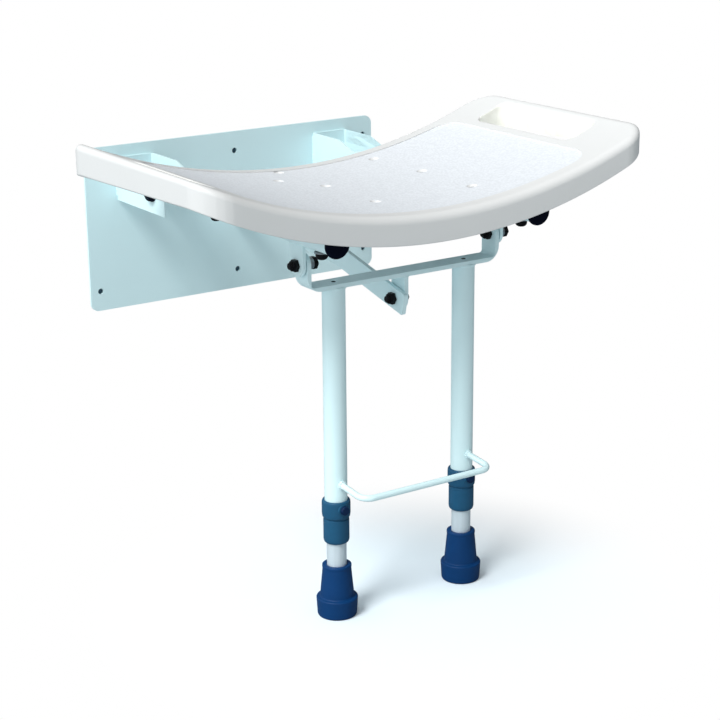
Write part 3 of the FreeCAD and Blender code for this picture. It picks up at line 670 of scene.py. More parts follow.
def hinge_pieces():
    nuts = Extent("hinge_nuts")
    caps = Extent("hinge_nut_caps")
    bolts = Extent("hinge_bolts")
    bracket = Extent("seat_bracket_right")
    place = Vector((0, nuts.mid.y, nuts.mid.z))
    head_radius = 8.5 * MM
    head_height = 6 * MM
    bolt_radius = 5 * MM
    nut_bm = bmesh.new()
    cap_bm = bmesh.new()
    bolt_bm = bmesh.new()
    for _, sign in SIDES:
        out = X * sign
        outer_face = place + out * bracket.high.x
        inner_face = place + out * bracket.low.x
        hexagon(nut_bm, head_radius, outer_face, out, nuts.high.x - bracket.high.x, head_radius * 0.09)
        capped_bolt(bolt_bm, bolt_radius, head_radius, head_height, inner_face,
                    place + out * bolts.high.x, out)
        height = caps.high.x - bracket.high.x
        radius = caps.size.z / 2
        wall = 1.5 * MM
        flange = 1.2 * MM
        turned(cap_bm, [(radius - 2.2 * MM, 0), (radius, 0), (radius, flange),
                        (radius - 0.5 * MM, flange + 0.5 * MM),
                        (radius - 1.1 * MM, height - 2.6 * MM), (radius - 2.0 * MM, height - 1.1 * MM),
                        (radius - 3.6 * MM, height - 0.25 * MM), (radius - 6.0 * MM, height), (0, height),
                        (0, height - wall), (radius - 4.0 * MM, height - wall),
                        (radius - 2.6 * MM, height - 3.0 * MM)], outer_face, out)
    piece(nut_bm, "hinge_nuts", "wall", "bolt_steel")
    piece(bolt_bm, "hinge_bolts", "wall", "bolt_steel")
    piece(cap_bm, "hinge_nut_caps", "wall", "cap_plastic")


def pivot_fasteners(bolt_node, nut_node, body, stacks):
    """Bolts and lock nuts across X. A stack is (tail x, nut face x, head face x)."""
    nuts = Extent(nut_node)
    place = Vector((0, nuts.mid.y, nuts.mid.z))
    head_radius = 7 * MM
    head_height = 5.5 * MM
    bolt_radius = 4 * MM
    nut_height = 6.5 * MM
    bolt_bm = bmesh.new()
    nut_bm = bmesh.new()
    for tail_x, nut_x, head_x in stacks:
        capped_bolt(bolt_bm, bolt_radius, head_radius, head_height, place + X * head_x,
                    place + X * tail_x, -X)
        lock_nut(nut_bm, head_radius, place + X * nut_x, -X, nut_height)
    piece(bolt_bm, bolt_node, body, "black_fastener")
    piece(nut_bm, nut_node, body, "black_fastener")


def pivot_pieces():
    tail = 3 * MM
    nut = 6.5 * MM
    head = 5.5 * MM
    spacer = 7.2 * MM
    bolts = Extent("leg_pivot_bolts")
    nuts = Extent("leg_pivot_nuts")
    left_nut = nuts.low.x + nut
    left_head = Extent("leg_pivot_spacers").low.x + spacer
    right_nut = nuts.high.x
    right_head = bolts.high.x - head
    pivot_fasteners("leg_pivot_bolts", "leg_pivot_nuts", "seat",
                    ((left_nut - nut - tail, left_nut, left_head),
                     (right_nut - nut - tail, right_nut, right_head)))
    for bolt_node, nut_node, body in (("link_front_bolt", "link_front_nut", "legs"),
                                      ("link_rear_bolt", "link_rear_nut", "wall")):
        bolt = Extent(bolt_node)
        pivot_fasteners(bolt_node, nut_node, body,
                        ((bolt.low.x, Extent(nut_node).high.x, bolt.high.x - head),))


def seat_bolt_pieces():
    bolts = Extent("seat_bolts")
    washers = Extent("seat_bolt_washers")
    head_radius = 6.5 * MM
    shank_radius = 3 * MM
    head_top = washers.low.z
    crown = 4.2 * MM
    bm = bmesh.new()
    for _, sign in SIDES:
        for y in (bolts.low.y + head_radius, bolts.high.y - head_radius):
            base = Vector((sign * (bolts.high.x - head_radius), y, head_top))
            head = head_top - bolts.low.z
            turned(bm, domed(head_radius, 0, head, crown), base, -Z)
            rod(bm, shank_radius, base, Z, bolts.high.z - head_top)
    piece(bm, "seat_bolts", "seat", "black_fastener")


# The seat frame

def frame_tube_pieces():
    wall = sizes().tube_wall
    for side, _ in SIDES:
        extent = Extent("frame_tube_" + side)
        bm = bmesh.new()
        pipe(bm, extent.size.x / 2, wall, Vector((extent.mid.x, extent.high.y, extent.mid.z)), -Y,
             extent.size.y)
        soften(bm, 0.35 * MM)
        piece(bm, "frame_tube_" + side, "seat", "frame_paint")
    bar = Extent("frame_cross_bar")
    tube = Extent("frame_tube_right")
    bm = bmesh.new()
    reach = tube.low.x + wall / 2
    pipe(bm, bar.size.z / 2, wall, Vector((-reach, bar.mid.y, bar.mid.z)), X, 2 * reach)
    for _, sign in SIDES:
        weld_ring(bm, Vector((sign * (tube.low.x + 0.2 * MM), bar.mid.y, bar.mid.z)), X,
                  bar.size.z / 2 - 0.3 * MM)
    piece(bm, "frame_cross_bar", "seat", "frame_paint")


def end_cap_pieces():
    caps = Extent("frame_end_caps")
    tube = Extent("frame_tube_right")
    radius = caps.size.z / 2
    thick = tube.low.y - caps.low.y
    plug = caps.high.y - tube.low.y
    plug_radius = tube.size.x / 2 - sizes().tube_wall
    bm = bmesh.new()
    for _, sign in SIDES:
        base = Vector((sign * tube.mid.x, tube.low.y, tube.mid.z))
        crown = thick * 0.8
        profile = [(radius, 0)] + domed(radius, 0, thick, crown)[2:-1]
        profile += [(radius * 0.5, thick * 1.0), (0, thick), (0, -plug * 0.2),
                    (plug_radius - 3 * MM, -plug * 0.2), (plug_radius - 3 * MM, -plug),
                    (plug_radius - 0.2 * MM, -plug), (plug_radius - 0.2 * MM, 0)]
        turned(bm, profile, base, -Y)
    piece(bm, "frame_end_caps", "seat", "cap_plastic")


def tongue(extent_low, extent_high, top_z, sign_x, radius, x_low, x_high):
    """The outline of a lug in its own plane: four square corners."""
    low_y, high_y = extent_low, extent_high
    return [Vector((x_low, low_y, top_z)), Vector((x_low, low_y, sign_x)),
            Vector((x_low, high_y, sign_x)), Vector((x_low, high_y, top_z))]


def lug_piece(node, body, spans, top_z, welds):
    """Lugs across X whose lower ends are round. A span is (low x, high x)."""
    extent = Extent(node)
    radius = extent.size.y / 2
    bm = bmesh.new()
    for low_x, high_x in spans:
        outline = [Vector((low_x, extent.low.y, top_z)), Vector((low_x, extent.low.y, extent.low.z)),
                   Vector((low_x, extent.high.y, extent.low.z)), Vector((low_x, extent.high.y, top_z))]
        slab_into(bm, outline, X * (high_x - low_x), {1: radius * 0.999, 2: radius * 0.999})
    bmesh.ops.recalc_face_normals(bm, faces=bm.faces)
    soften(bm, sizes().edge_break * 0.8)
    for start, end, facing in welds:
        weld_line(bm, start, end, facing)
    piece(bm, node, body, "frame_paint")


def lug_pieces():
    lugs = Extent("leg_lugs")
    tube = Extent("frame_tube_right")
    thick = 4 * MM
    welds = []
    spans = []
    for _, sign in SIDES:
        x = sign * tube.mid.x
        spans.append((x - thick / 2, x + thick / 2))
        for side in (-1, 1):
            place = x + side * thick / 2
            welds.append((Vector((place, lugs.low.y + 1 * MM, tube.low.z + 0.1 * MM)),
                          Vector((place, lugs.high.y - 1 * MM, tube.low.z + 0.1 * MM)), X * side))
    lug_piece("leg_lugs", "seat", spans, tube.low.z + 0.8 * MM, welds)
    lug = Extent("link_lug")
    yoke = Extent("leg_yoke")
    welds = [(Vector((x, lug.low.y + 1 * MM, yoke.low.z)), Vector((x, lug.high.y - 1 * MM, yoke.low.z)),
              X * side) for side, x in ((-1, lug.low.x), (1, lug.high.x))]
    lug_piece("link_lug", "legs", [(lug.low.x, lug.high.x)], yoke.low.z, welds)


# The legs

def yoke_piece():
    extent = Extent("leg_yoke")
    leg = Extent("leg_tube_right")
    low, high = extent.low, extent.high
    bar = 5 * MM
    bend = 12 * MM
    vent = 2.5 * MM
    outline = [(low.x, high.z), (low.x, low.z), (high.x, low.z), (high.x, high.z),
               (high.x - bar, high.z), (high.x - bar, low.z + bar),
               (low.x + bar, low.z + bar), (low.x + bar, high.z)]
    bm = bmesh.new()
    slab_into(bm, [Vector((x, low.y, z)) for x, z in outline], Y * extent.size.y,
              {1: bend + bar, 2: bend + bar, 5: bend, 6: bend})
    bmesh.ops.recalc_face_normals(bm, faces=bm.faces)
    ears = [edge for edge in bm.edges
            if all(abs(vert.co.z - high.z) < MM / 10 for vert in edge.verts)
            and abs(edge.verts[0].co.y - edge.verts[1].co.y) < MM / 10]
    bmesh.ops.bevel(bm, geom=ears, offset=extent.size.y / 2 * 0.999, segments=12, profile=0.5,
                    affect="EDGES", material=-1, clamp_overlap=True)
    drills = bmesh.new()
    for _, sign in SIDES:
        place = Vector((sign * leg.mid.x, extent.mid.y, low.z - MM))
        rod(drills, vent, place, Z, bar + 2 * MM)
    bmesh.ops.recalc_face_normals(drills, faces=drills.faces)
    bm = joined(bm, drills, "DIFFERENCE")
    soften(bm, sizes().edge_break)
    # Painted shade: the walls of the vent holes take the black fastener finish so the holes read dark inside.
    for face in bm.faces:
        centre = face.calc_center_median()
        centre.x = abs(centre.x) - abs(leg.mid.x)
        centre.y -= extent.mid.y
        face.material_index = int(centre.xy.length < vent * 1.05 and centre.z < low.z + bar)
    piece(bm, "leg_yoke", "legs", "frame_paint",
          materials=(MATERIALS["frame_paint"], MATERIALS["black_fastener"]))


def leg_tube_pieces():
    for side, _ in SIDES:
        extent = Extent("leg_tube_" + side)
        bm = bmesh.new()
        pipe(bm, extent.size.x / 2, sizes().tube_wall, Vector((extent.mid.x, extent.mid.y, extent.low.z)),
             Z, extent.size.z)
        soften(bm, 0.3 * MM)
        pin_way = bmesh.new()
        rod(pin_way, 3.05 * MM, Vector((extent.mid.x, extent.mid.y, Extent("lock_pin_" + side).mid.z)),
            -Y, extent.size.x)
        bmesh.ops.recalc_face_normals(bm, faces=bm.faces)
        bmesh.ops.recalc_face_normals(pin_way, faces=pin_way.faces)
        bm = joined(bm, pin_way, "DIFFERENCE")
        weld_ring(bm, Vector((extent.mid.x, extent.mid.y, extent.high.z - 0.4 * MM)), Z,
                  extent.size.x / 2 - 0.2 * MM)
        piece(bm, "leg_tube_" + side, "legs", "frame_paint")


def carry_loop_piece():
    extent = Extent("carry_loop")
    leg = Extent("leg_tube_right")
    radius = 3.5 * MM
    bend = 13 * MM
    tilt = math.radians(5)
    start = Vector((-leg.mid.x, leg.mid.y, 0))
    reach = (leg.mid.y - extent.low.y - radius) / math.cos(tilt)
    loop_z = extent.high.z - radius * math.cos(tilt) + math.tan(tilt) * (leg.mid.y - extent.high.y)
    hidden = leg.size.x / 2 - sizes().tube_wall * 0.55
    bm = bmesh.new()
    ring = bmesh.ops.create_circle(bm, cap_ends=True, segments=24, radius=radius,
                                   matrix=Matrix.Translation(start - Y * hidden) @ basis(-Y))["verts"]
    run = reach - bend - hidden
    face = ring[0].link_faces[0]

    def straight(face, step):
        grown = bmesh.ops.extrude_discrete_faces(bm, faces=[face])["faces"][0]
        bmesh.ops.translate(bm, verts=grown.verts[:], vec=step)
        return grown

    def around(face, centre, angle):
        made = bmesh.ops.spin(bm, geom=[face], cent=centre, axis=Z, dvec=(0, 0, 0), angle=angle,
                              steps=12)["geom_last"]
        return next(part for part in made if isinstance(part, bmesh.types.BMFace))

    face = straight(face, -Y * run)
    face = around(face, Vector((-leg.mid.x + bend, leg.mid.y - reach + bend, 0)), math.pi / 2)
    face = straight(face, X * (2 * leg.mid.x - 2 * bend))
    face = around(face, Vector((leg.mid.x - bend, leg.mid.y - reach + bend, 0)), math.pi / 2)
    straight(face, Y * run)
    turn = Matrix.Translation((0, leg.mid.y, loop_z)) @ Matrix.Rotation(tilt, 4, "X")
    bmesh.ops.transform(bm, matrix=turn @ Matrix.Translation((0, -leg.mid.y, 0)), verts=bm.verts[:])
    for _, sign in SIDES:
        place = Vector((sign * leg.mid.x, leg.low.y - 0.7 * MM,
                        loop_z - math.tan(tilt) * leg.size.x / 2))
        weld_ring(bm, place, Y, radius)
    piece(bm, "carry_loop", "legs", "frame_paint")


def collar_pieces():
    for side, sign in SIDES:
        ring = Extent("lock_ring_" + side)
        leg = Extent("leg_tube_" + side)
        bore = leg.size.x / 2 + 0.05 * MM
        axis_foot = Vector((leg.mid.x, leg.mid.y, ring.low.z))
        radius = ring.size.x / 2
        height = ring.size.z
        pin = Extent("lock_pin_" + side)
        spring = Extent("lock_spring_" + side)
        recess = spring.size.x / 2 + 0.05 * MM
        band_low = spring.low.z - ring.low.z - 0.3 * MM
        band_high = spring.high.z - ring.low.z + 0.3 * MM
        bm = bmesh.new()
        turned(bm, [(bore, 0), (radius - 1.4 * MM, 0), (radius - 0.5 * MM, 0.5 * MM),
                    (radius - 0.35 * MM, 2.0 * MM), (radius, 4.2 * MM), (radius, height - 3.4 * MM),
                    (radius - 0.3 * MM, height - 1.2 * MM), (radius - 0.9 * MM, height - 0.3 * MM),
                    (radius - 1.6 * MM, height), (bore + 0.5 * MM, height), (bore, height - 0.5 * MM),
                    (bore, band_high), (recess, band_high), (recess, band_low), (bore, band_low)],
               axis_foot, Z)

        # The pin's way: a pocket for its flange, a hole for its knob and a raised rim round it
        knob_hole = pin.size.x / 2 - 0.9 * MM
        pocket = pin.size.x / 2 + 0.15 * MM
        pocket_reach = 15.15 * MM
        rim_foot = 14.0 * MM
        rim_height = 2.2 * MM
        boss = 7 * MM
        way = bmesh.new()
        axis_point = Vector((axis_foot.x, axis_foot.y, pin.mid.z))
        turned(way, [(0, 0), (pocket, 0), (pocket, pocket_reach), (knob_hole, pocket_reach),
                     (knob_hole, radius + 2 * MM), (0, radius + 2 * MM)], axis_point, -Y)
        bmesh.ops.recalc_face_normals(bm, faces=bm.faces)
        bmesh.ops.recalc_face_normals(way, faces=way.faces)
        bm = joined(bm, way, "DIFFERENCE")
        turned(bm, [(pocket, 0), (boss, 0), (boss - 0.3 * MM, rim_height - 0.45 * MM),
                    (boss - 0.9 * MM, rim_height), (knob_hole, rim_height),
                    (knob_hole, pocket_reach - rim_foot), (pocket, pocket_reach - rim_foot)],
               axis_point - Y * rim_foot, -Y)
        piece(bm, "lock_ring_" + side, "legs", "collar_plastic")

        sleeve = Extent("guide_sleeve_" + side)
        extension = Extent("leg_extension_" + side)
        slide = extension.size.x / 2 + 0.05 * MM
        radius = sleeve.size.x / 2
        neck = 2.4 * MM
        step = leg.low.z - sleeve.low.z
        height = sleeve.size.z
        foot = Vector((leg.mid.x, leg.mid.y, sleeve.low.z))
        bm = bmesh.new()
        turned(bm, [(slide + 0.4 * MM, 0), (radius - 3.4 * MM, 0), (radius - 1.9 * MM, 0.5 * MM),
                    (radius - 0.8 * MM, 1.5 * MM), (radius - 0.25 * MM, 3.0 * MM), (radius, 4.8 * MM),
                    (radius, height - neck - 0.9 * MM), (radius - 0.3 * MM, height - neck - 0.3 * MM),
                    (radius - 1.0 * MM, height - neck), (radius - 1.0 * MM, height), (bore, height),
                    (bore, step), (slide, step), (slide, 0.5 * MM)], foot, Z)
        piece(bm, "guide_sleeve_" + side, "legs", "collar_plastic")

        knob_radius = 5 * MM
        flange = 6 * MM
        nose = 3 * MM
        length = pin.size.y
        ring_face = leg.mid.y - ring.size.x / 2 - pin.low.y
        start = pin.high.y - (leg.mid.y - leg.size.x / 2 - 0.5 * MM)
        bm = bmesh.new()
        profile = [(0, 0), (nose, 0), (nose, start), (flange, start), (flange, start + 0.6 * MM),
                   (knob_radius, start + 0.6 * MM), (knob_radius, length - ring_face + 0.6 * MM)]
        grooves = 3
        for index in range(grooves):
            place = length - ring_face + (0.9 + index * 0.8) * MM
            profile += [(knob_radius, place), (knob_radius - 0.22 * MM, place + 0.2 * MM),
                        (knob_radius, place + 0.4 * MM)]
        profile += [(radius, height) for radius, height in domed(knob_radius, 0, length, 1.1 * MM)[2:]]
        turned(bm, profile, Vector((leg.mid.x, pin.high.y, pin.mid.z)), -Y)
        piece(bm, "lock_pin_" + side, "lock_pin_" + side, "knob_plastic")


def extension_pieces():
    pitch = 25 * MM
    holes = 5
    drill = 3.05 * MM
    for side, _ in SIDES:
        extent = Extent("leg_extension_" + side)
        pin = Extent("lock_pin_" + side)
        bm = bmesh.new()
        pipe(bm, extent.size.x / 2, sizes().tube_wall,
             Vector((extent.mid.x, extent.mid.y, extent.low.z)), Z, extent.size.z)
        drills = bmesh.new()
        for index in range(holes):
            rod(drills, drill, Vector((extent.mid.x, extent.mid.y, pin.mid.z + index * pitch)), -Y,
                extent.size.x)
        bmesh.ops.recalc_face_normals(bm, faces=bm.faces)
        bmesh.ops.recalc_face_normals(drills, faces=drills.faces)
        piece(joined(bm, drills, "DIFFERENCE"), "leg_extension_" + side, "extension_" + side,
              "extension_metal")


def foot_pieces():
    for side, _ in SIDES:
        extent = Extent("foot_" + side)
        tube = Extent("leg_extension_" + side)
        bore = tube.size.x / 2 + 0.02 * MM
        floor_up = tube.low.z - extent.low.z
        base = extent.size.x / 2
        height = extent.size.z
        lip = 22 * MM
        shoulder = 19 * MM
        neck = 15.75 * MM
        groove = 1.5 * MM
        depth = 2.5 * MM
        profile = [(0, floor_up), (bore, floor_up), (bore, height - 0.8 * MM), (bore + 0.8 * MM, height),
                   (neck - 0.4 * MM, height), (neck + 0.35 * MM, height - 0.6 * MM),
                   (neck + 0.55 * MM, height - 2.0 * MM), (neck + 0.45 * MM, height - 3.6 * MM),
                   (neck + 0.15 * MM, height - 4.6 * MM),
                   (shoulder - 0.15 * MM, lip + 2.2 * MM), (shoulder + 0.2 * MM, lip + 0.9 * MM),
                   (shoulder + 0.9 * MM, lip + 0.15 * MM), (base - 1.5 * MM, lip),
                   (base - 0.4 * MM, lip - 0.4 * MM), (base, lip - 1.2 * MM), (base, lip - 2 * MM),
                   (base - 0.9 * MM, 4 * MM), (base - 1.2 * MM, 1.6 * MM),
                   (base - 1.9 * MM, 0.4 * MM), (base - 3.0 * MM, 0)]
        for radius in (15 * MM, 9 * MM):
            profile += [(radius + groove, 0), (radius + groove * 0.8, depth),
                        (radius - groove * 0.8, depth), (radius - groove, 0)]
        profile.append((0, 0))
        bm = bmesh.new()
        turned(bm, profile, Vector((extent.mid.x, extent.mid.y, extent.low.z)), Z)
        piece(bm, "foot_" + side, "extension_" + side, "foot_rubber", sharp=50)


def folding_link_piece():
    extent = Extent("folding_link")
    rear = Extent("link_rear_nut").mid
    front = Extent("link_front_nut").mid
    half = 12 * MM
    nose = 19 * MM
    run = 113 * MM
    slope = math.radians(13)
    along = Vector((0, math.cos(slope), math.sin(slope)))
    up_front = Vector((0, -math.sin(slope), math.cos(slope)))
    eye = Vector((extent.low.x, front.y, front.z))
    tail = Vector((extent.low.x, rear.y, rear.z))
    knee = eye + along * run
    back = (tail - knee).normalized()
    up_back = Vector((0, -back.z, back.y))
    mitre = (up_front + up_back) / (1 + up_front.dot(up_back))
    tip = eye - along * nose
    end = tail + back * half
    outline = [tip + up_front * half, knee + mitre * half, end + up_back * half,
               end - up_back * half, knee - mitre * half, tip - up_front * half]
    bm = bmesh.new()
    slab_into(bm, outline, X * extent.size.x, {2: half * 0.999, 3: half * 0.999, 1: half, 4: half,
                                              0: 2 * MM, 5: 2 * MM})
    bmesh.ops.recalc_face_normals(bm, faces=bm.faces)
    soften(bm, sizes().edge_break)
    piece(bm, "folding_link", "link", "frame_paint")


# The seat board

class Board:
    """The seat board's dish: where a point of the flat pattern lies on the real board."""

    top_radius = 665 * MM
    under_radius = 642 * MM
    rear_run = 150 * MM
    rear_drop = 9 * MM
    end_run = 110 * MM

    def __init__(self):
        self.extent = Extent("seat_board")
        self.rim_low = self.extent.low.z
        self.top_low = self.rim_low + sizes().board_rim

    def top(self, x):
        return self.top_low + self.top_radius - math.sqrt(self.top_radius ** 2 - x * x)

    def under(self, x):
        return self.rim_low + self.under_radius - math.sqrt(self.under_radius ** 2 - x * x)

    def bend(self, bm):
        """Moves the flat pattern, whose top is at zero, onto the dish. The rim deepens at the rear ends."""
        for vert in bm.verts:
            share = -vert.co.z / sizes().board_rim
            x = vert.co.x
            rearness = max(0, 1 - (self.extent.high.y - vert.co.y) / self.rear_run)
            endness = max(0, 1 - (self.extent.high.x - abs(x)) / self.end_run)
            deeper = self.rear_drop * rearness * endness
            vert.co.z = self.top(x) + (self.under(x) - self.top(x) - deeper) * share


def rounded_block(bm, low, high, radius, segments=10):
    outline = [Vector((low.x, low.y, low.z)), Vector((high.x, low.y, low.z)),
               Vector((high.x, high.y, low.z)), Vector((low.x, high.y, low.z))]
    before = set(bm.edges)
    slab_into_part(bm, outline, Z * (high.z - low.z))
    risers = [edge for edge in bm.edges if edge not in before
              and abs(edge.verts[0].co.z - edge.verts[1].co.z) > MM / 10]
    bmesh.ops.bevel(bm, geom=risers, offset=radius, segments=segments, profile=0.5, affect="EDGES",
                    material=-1, clamp_overlap=True)


def slab_into_part(bm, outline, sweep):
    verts = [bm.verts.new(point) for point in outline]
    region = bmesh.ops.extrude_face_region(bm, geom=[bm.faces.new(verts)])["geom"]
    bmesh.ops.translate(bm, verts=[part for part in region if isinstance(part, bmesh.types.BMVert)],
                        vec=sweep)


def flat_tray(board):
    """The board as a flat tray with its ribs, its top at zero."""
    low, high = board.extent.low, board.extent.high
    rim = sizes().board_rim
    skin = sizes().board_skin
    rib_low = skin + sizes().board_rib
    half_rib = 1.5 * MM
    column_pitch = 50 * MM
    columns = 4
    rows = 5
    bm = bmesh.new()
    rounded_block(bm, Vector((low.x, low.y, -rim)), Vector((high.x, high.y, 0)),
                  sizes().board_corner, 14)
    bmesh.ops.recalc_face_normals(bm, faces=bm.faces)
    sole = min(bm.faces, key=lambda face: face.calc_center_median().z)
    bmesh.ops.inset_region(bm, faces=[sole], thickness=skin, use_even_offset=True)
    inner = bmesh.ops.extrude_discrete_faces(bm, faces=[sole])["faces"][0]
    bmesh.ops.translate(bm, verts=inner.verts[:], vec=Z * (rim - rib_low))

    def crown_edge(edge):
        return all(abs(vert.co.z) < MM / 10 for vert in edge.verts)

    soften(bm, sizes().board_round, 7, only=crown_edge)
    soften(bm, 1.3 * MM, 2, only=lambda edge: all(abs(vert.co.z + rim) < MM / 10 for vert in edge.verts))
    floor = [face for face in bm.faces
             if all(abs(vert.co.z + rib_low) < MM / 10 for vert in face.verts)]
    cuts = [(Vector((sign * (index + 1) * column_pitch, 0, 0)), X)
            for index in range(columns) for sign in (-1, 1)]
    depth = high.y - low.y
    cuts += [(Vector((0, high.y - depth * (index + 1) / (rows + 1), 0)), Y) for index in range(rows)]
    for point, normal in cuts:
        region = set()
        for face in floor:
            region.update([face, *face.edges, *face.verts])
        made = bmesh.ops.bisect_plane(bm, geom=list(region), dist=MM / 10000, plane_co=point,
                                      plane_no=normal)
        floor = [face for face in bm.faces
                 if all(abs(vert.co.z + rib_low) < MM / 10 for vert in face.verts)]
    bmesh.ops.inset_individual(bm, faces=floor, thickness=half_rib, use_even_offset=True)
    cells = bmesh.ops.extrude_discrete_faces(bm, faces=floor)["faces"]
    bmesh.ops.translate(bm, verts=list({vert for face in cells for vert in face.verts}),
                        vec=Z * (rib_low - skin))
    return bm


def slot_corners(board, sign, margin):
    inner = 224 * MM
    width = 43 * MM
    half = 86 * MM
    middle = board.extent.high.y - 144 * MM
    xs = sorted((sign * (inner - margin), sign * (inner + width + margin)))
    return xs[0], xs[1], middle - half - margin, middle + half + margin


def seat_board_piece():
    board = Board()
    low, high = board.extent.low, board.extent.high
    rim = sizes().board_rim
    deep = 60 * MM
    bm = flat_tray(board)
    bmesh.ops.recalc_face_normals(bm, faces=bm.faces)

    # Slot walls and bolt bosses
    slot_radius = 12 * MM
    slot_wall = 3 * MM
    wall_depth = 28 * MM
    boss_radius = 9 * MM
    insert_radius = 4.5 * MM
    tube = Extent("frame_tube_right")
    bolts = Extent("seat_bolts")
    bolt_ys = (bolts.low.y + 6.5 * MM, bolts.high.y - 6.5 * MM)
    added = bmesh.new()
    for _, sign in SIDES:
        x0, x1, y0, y1 = slot_corners(board, sign, slot_wall)
        rounded_block(added, Vector((x0, y0, -wall_depth)), Vector((x1, y1, -3 * MM)),
                      slot_radius + slot_wall)
        for y in bolt_ys:
            rod(added, boss_radius, Vector((sign * tube.mid.x, y, -28 * MM)), Z, 25 * MM)
    bmesh.ops.recalc_face_normals(added, faces=added.faces)
    bm = joined(bm, added, "UNION")

    # The sunk sitting area and the bores of the inserts
    inset_x = 212 * MM
    inset_margin = 21.5 * MM
    inset_corner = 26 * MM
    depth = sizes().inset_depth
    sunk = bmesh.new()
    rounded_block(sunk, Vector((-inset_x, low.y + inset_margin, -depth)),
                  Vector((inset_x, high.y - inset_margin, 10 * MM)), inset_corner, 12)
    for _, sign in SIDES:
        for y in bolt_ys:
            rod(sunk, insert_radius, Vector((sign * tube.mid.x, y, -deep)), Z, deep - 8 * MM)
    bmesh.ops.recalc_face_normals(sunk, faces=sunk.faces)
    bm = joined(bm, sunk, "DIFFERENCE")

    # Slots and drain holes
    drain_radius = 4 * MM
    drain_mouth = 6.3 * MM
    drain_cone = 2.2 * MM
    cones = bmesh.new()
    drain_shares = ((-0.112, 0.088), (-0.217, 0.246), (-0.098, 0.393), (-0.098, 0.711),
                    (0.312, 0.144), (0.322, 0.446), (0.312, 0.764))
    holes = bmesh.new()
    for _, sign in SIDES:
        x0, x1, y0, y1 = slot_corners(board, sign, 0)
        rounded_block(holes, Vector((x0, y0, -deep)), Vector((x1, y1, 10 * MM)), slot_radius)
    for x_share, y_share in drain_shares:
        place = Vector((x_share * high.x, high.y - y_share * (high.y - low.y), -deep))
        rod(holes, drain_radius, place, Z, deep + 10 * MM)
        funnel = [(0, -drain_cone), (drain_radius, -drain_cone), (drain_mouth, 0), (drain_mouth, MM), (0, MM)]
        turned(cones, funnel, Vector((place.x, place.y, -depth)), Z)
    bmesh.ops.recalc_face_normals(holes, faces=holes.faces)
    bm = joined(bm, holes, "DIFFERENCE")
    bmesh.ops.recalc_face_normals(cones, faces=cones.faces)
    bm = joined(bm, cones, "DIFFERENCE")

    # Rounded lips round the slots, soft rims on the drains and the sunk area's border
    def on_slot(edge):
        return all(abs(vert.co.z) < MM / 10 and 220 * MM < abs(vert.co.x) < 270 * MM
                   and abs(vert.co.y - (high.y - 144 * MM)) < 88 * MM for vert in edge.verts)

    def on_sunk(edge):
        return all(-2 * MM < vert.co.z < MM / 10 and abs(vert.co.x) < 214 * MM for vert in edge.verts)

    soften(bm, sizes().grip_lip, 5, only=on_slot)
    soften(bm, 0.45 * MM, 2, only=on_sunk)

    # Bend the flat pattern onto the dish
    strip = 8 * MM
    for index in range(1, int((high.x - low.x) / strip)):
        x = low.x + index * strip
        bmesh.ops.bisect_plane(bm, geom=bm.verts[:] + bm.edges[:] + bm.faces[:], dist=MM / 1000,
                               plane_co=(x, 0, 0), plane_no=X)
    board.bend(bm)
    bmesh.ops.triangulate(bm, faces=[face for face in bm.faces if len(face.verts) > 4])

    # Room for the frame under the board
    saddle = tube.size.x / 2 + 0.3 * MM
    skirt = sizes().board_skin + MM
    first = bmesh.new()
    for _, sign in SIDES:
        rod(first, saddle, Vector((sign * tube.mid.x, tube.low.y + MM, tube.mid.z)), Y,
            high.y + MM - tube.low.y)
    link = Extent("folding_link")
    channel_half = 8 * MM
    block(first, Vector((link.mid.x - channel_half, low.y + 123 * MM, low.z - MM)),
          Vector((link.mid.x + channel_half, high.y + MM, board.top_low - 5 * MM)))
    bmesh.ops.recalc_face_normals(first, faces=first.faces)
    bm = joined(bm, first, "DIFFERENCE")
    second = bmesh.new()
    for _, sign in SIDES:
        x = sign * tube.mid.x
        block(second, Vector((x - saddle, high.y - skirt, low.z - MM)),
              Vector((x + saddle, high.y + MM, tube.mid.z)))
    bar = Extent("frame_cross_bar")
    rod(second, bar.size.z / 2 + MM, Vector((-tube.low.x + 6 * MM, bar.mid.y, bar.mid.z)), X,
        2 * tube.low.x - 12 * MM)
    bmesh.ops.recalc_face_normals(second, faces=second.faces)
    bm = joined(bm, second, "DIFFERENCE")

    # The sunk area has its own texture
    bm.normal_update()
    for face in bm.faces:
        centre = face.calc_center_median()
        inside = abs(centre.x) < inset_x and low.y + inset_margin < centre.y < high.y - inset_margin
        sunk_here = board.top(centre.x) - centre.z > depth * 0.6
        face.material_index = 1 if inside and sunk_here and face.normal.z > 0.5 and (
            board.top(centre.x) - centre.z < depth * 1.6) else 0
        x0, x1, y0, y1 = slot_corners(board, 1, MM / 2)
        # Painted light: the slot walls take the lighter grip colour though they are the board's own plastic.
        if x0 < abs(centre.x) < x1 and y0 < centre.y < y1 and face.normal.z < 0.7:
            face.material_index = 2
    piece(bm, "seat_board", "seat", "seat_plastic",
          materials=(MATERIALS["seat_plastic"], MATERIALS["sitting"], MATERIALS["grip"]))


# The stage

TENT_MIDDLE = 0.61
TENT_SLOPE = 0.50
TENT_TOP = 0.24
TENT_GLOSS = 0.35
FLOOR_NEAR = 0.10
FLOOR_FAR = 0.36
FLOOR_GLOW = 0.06


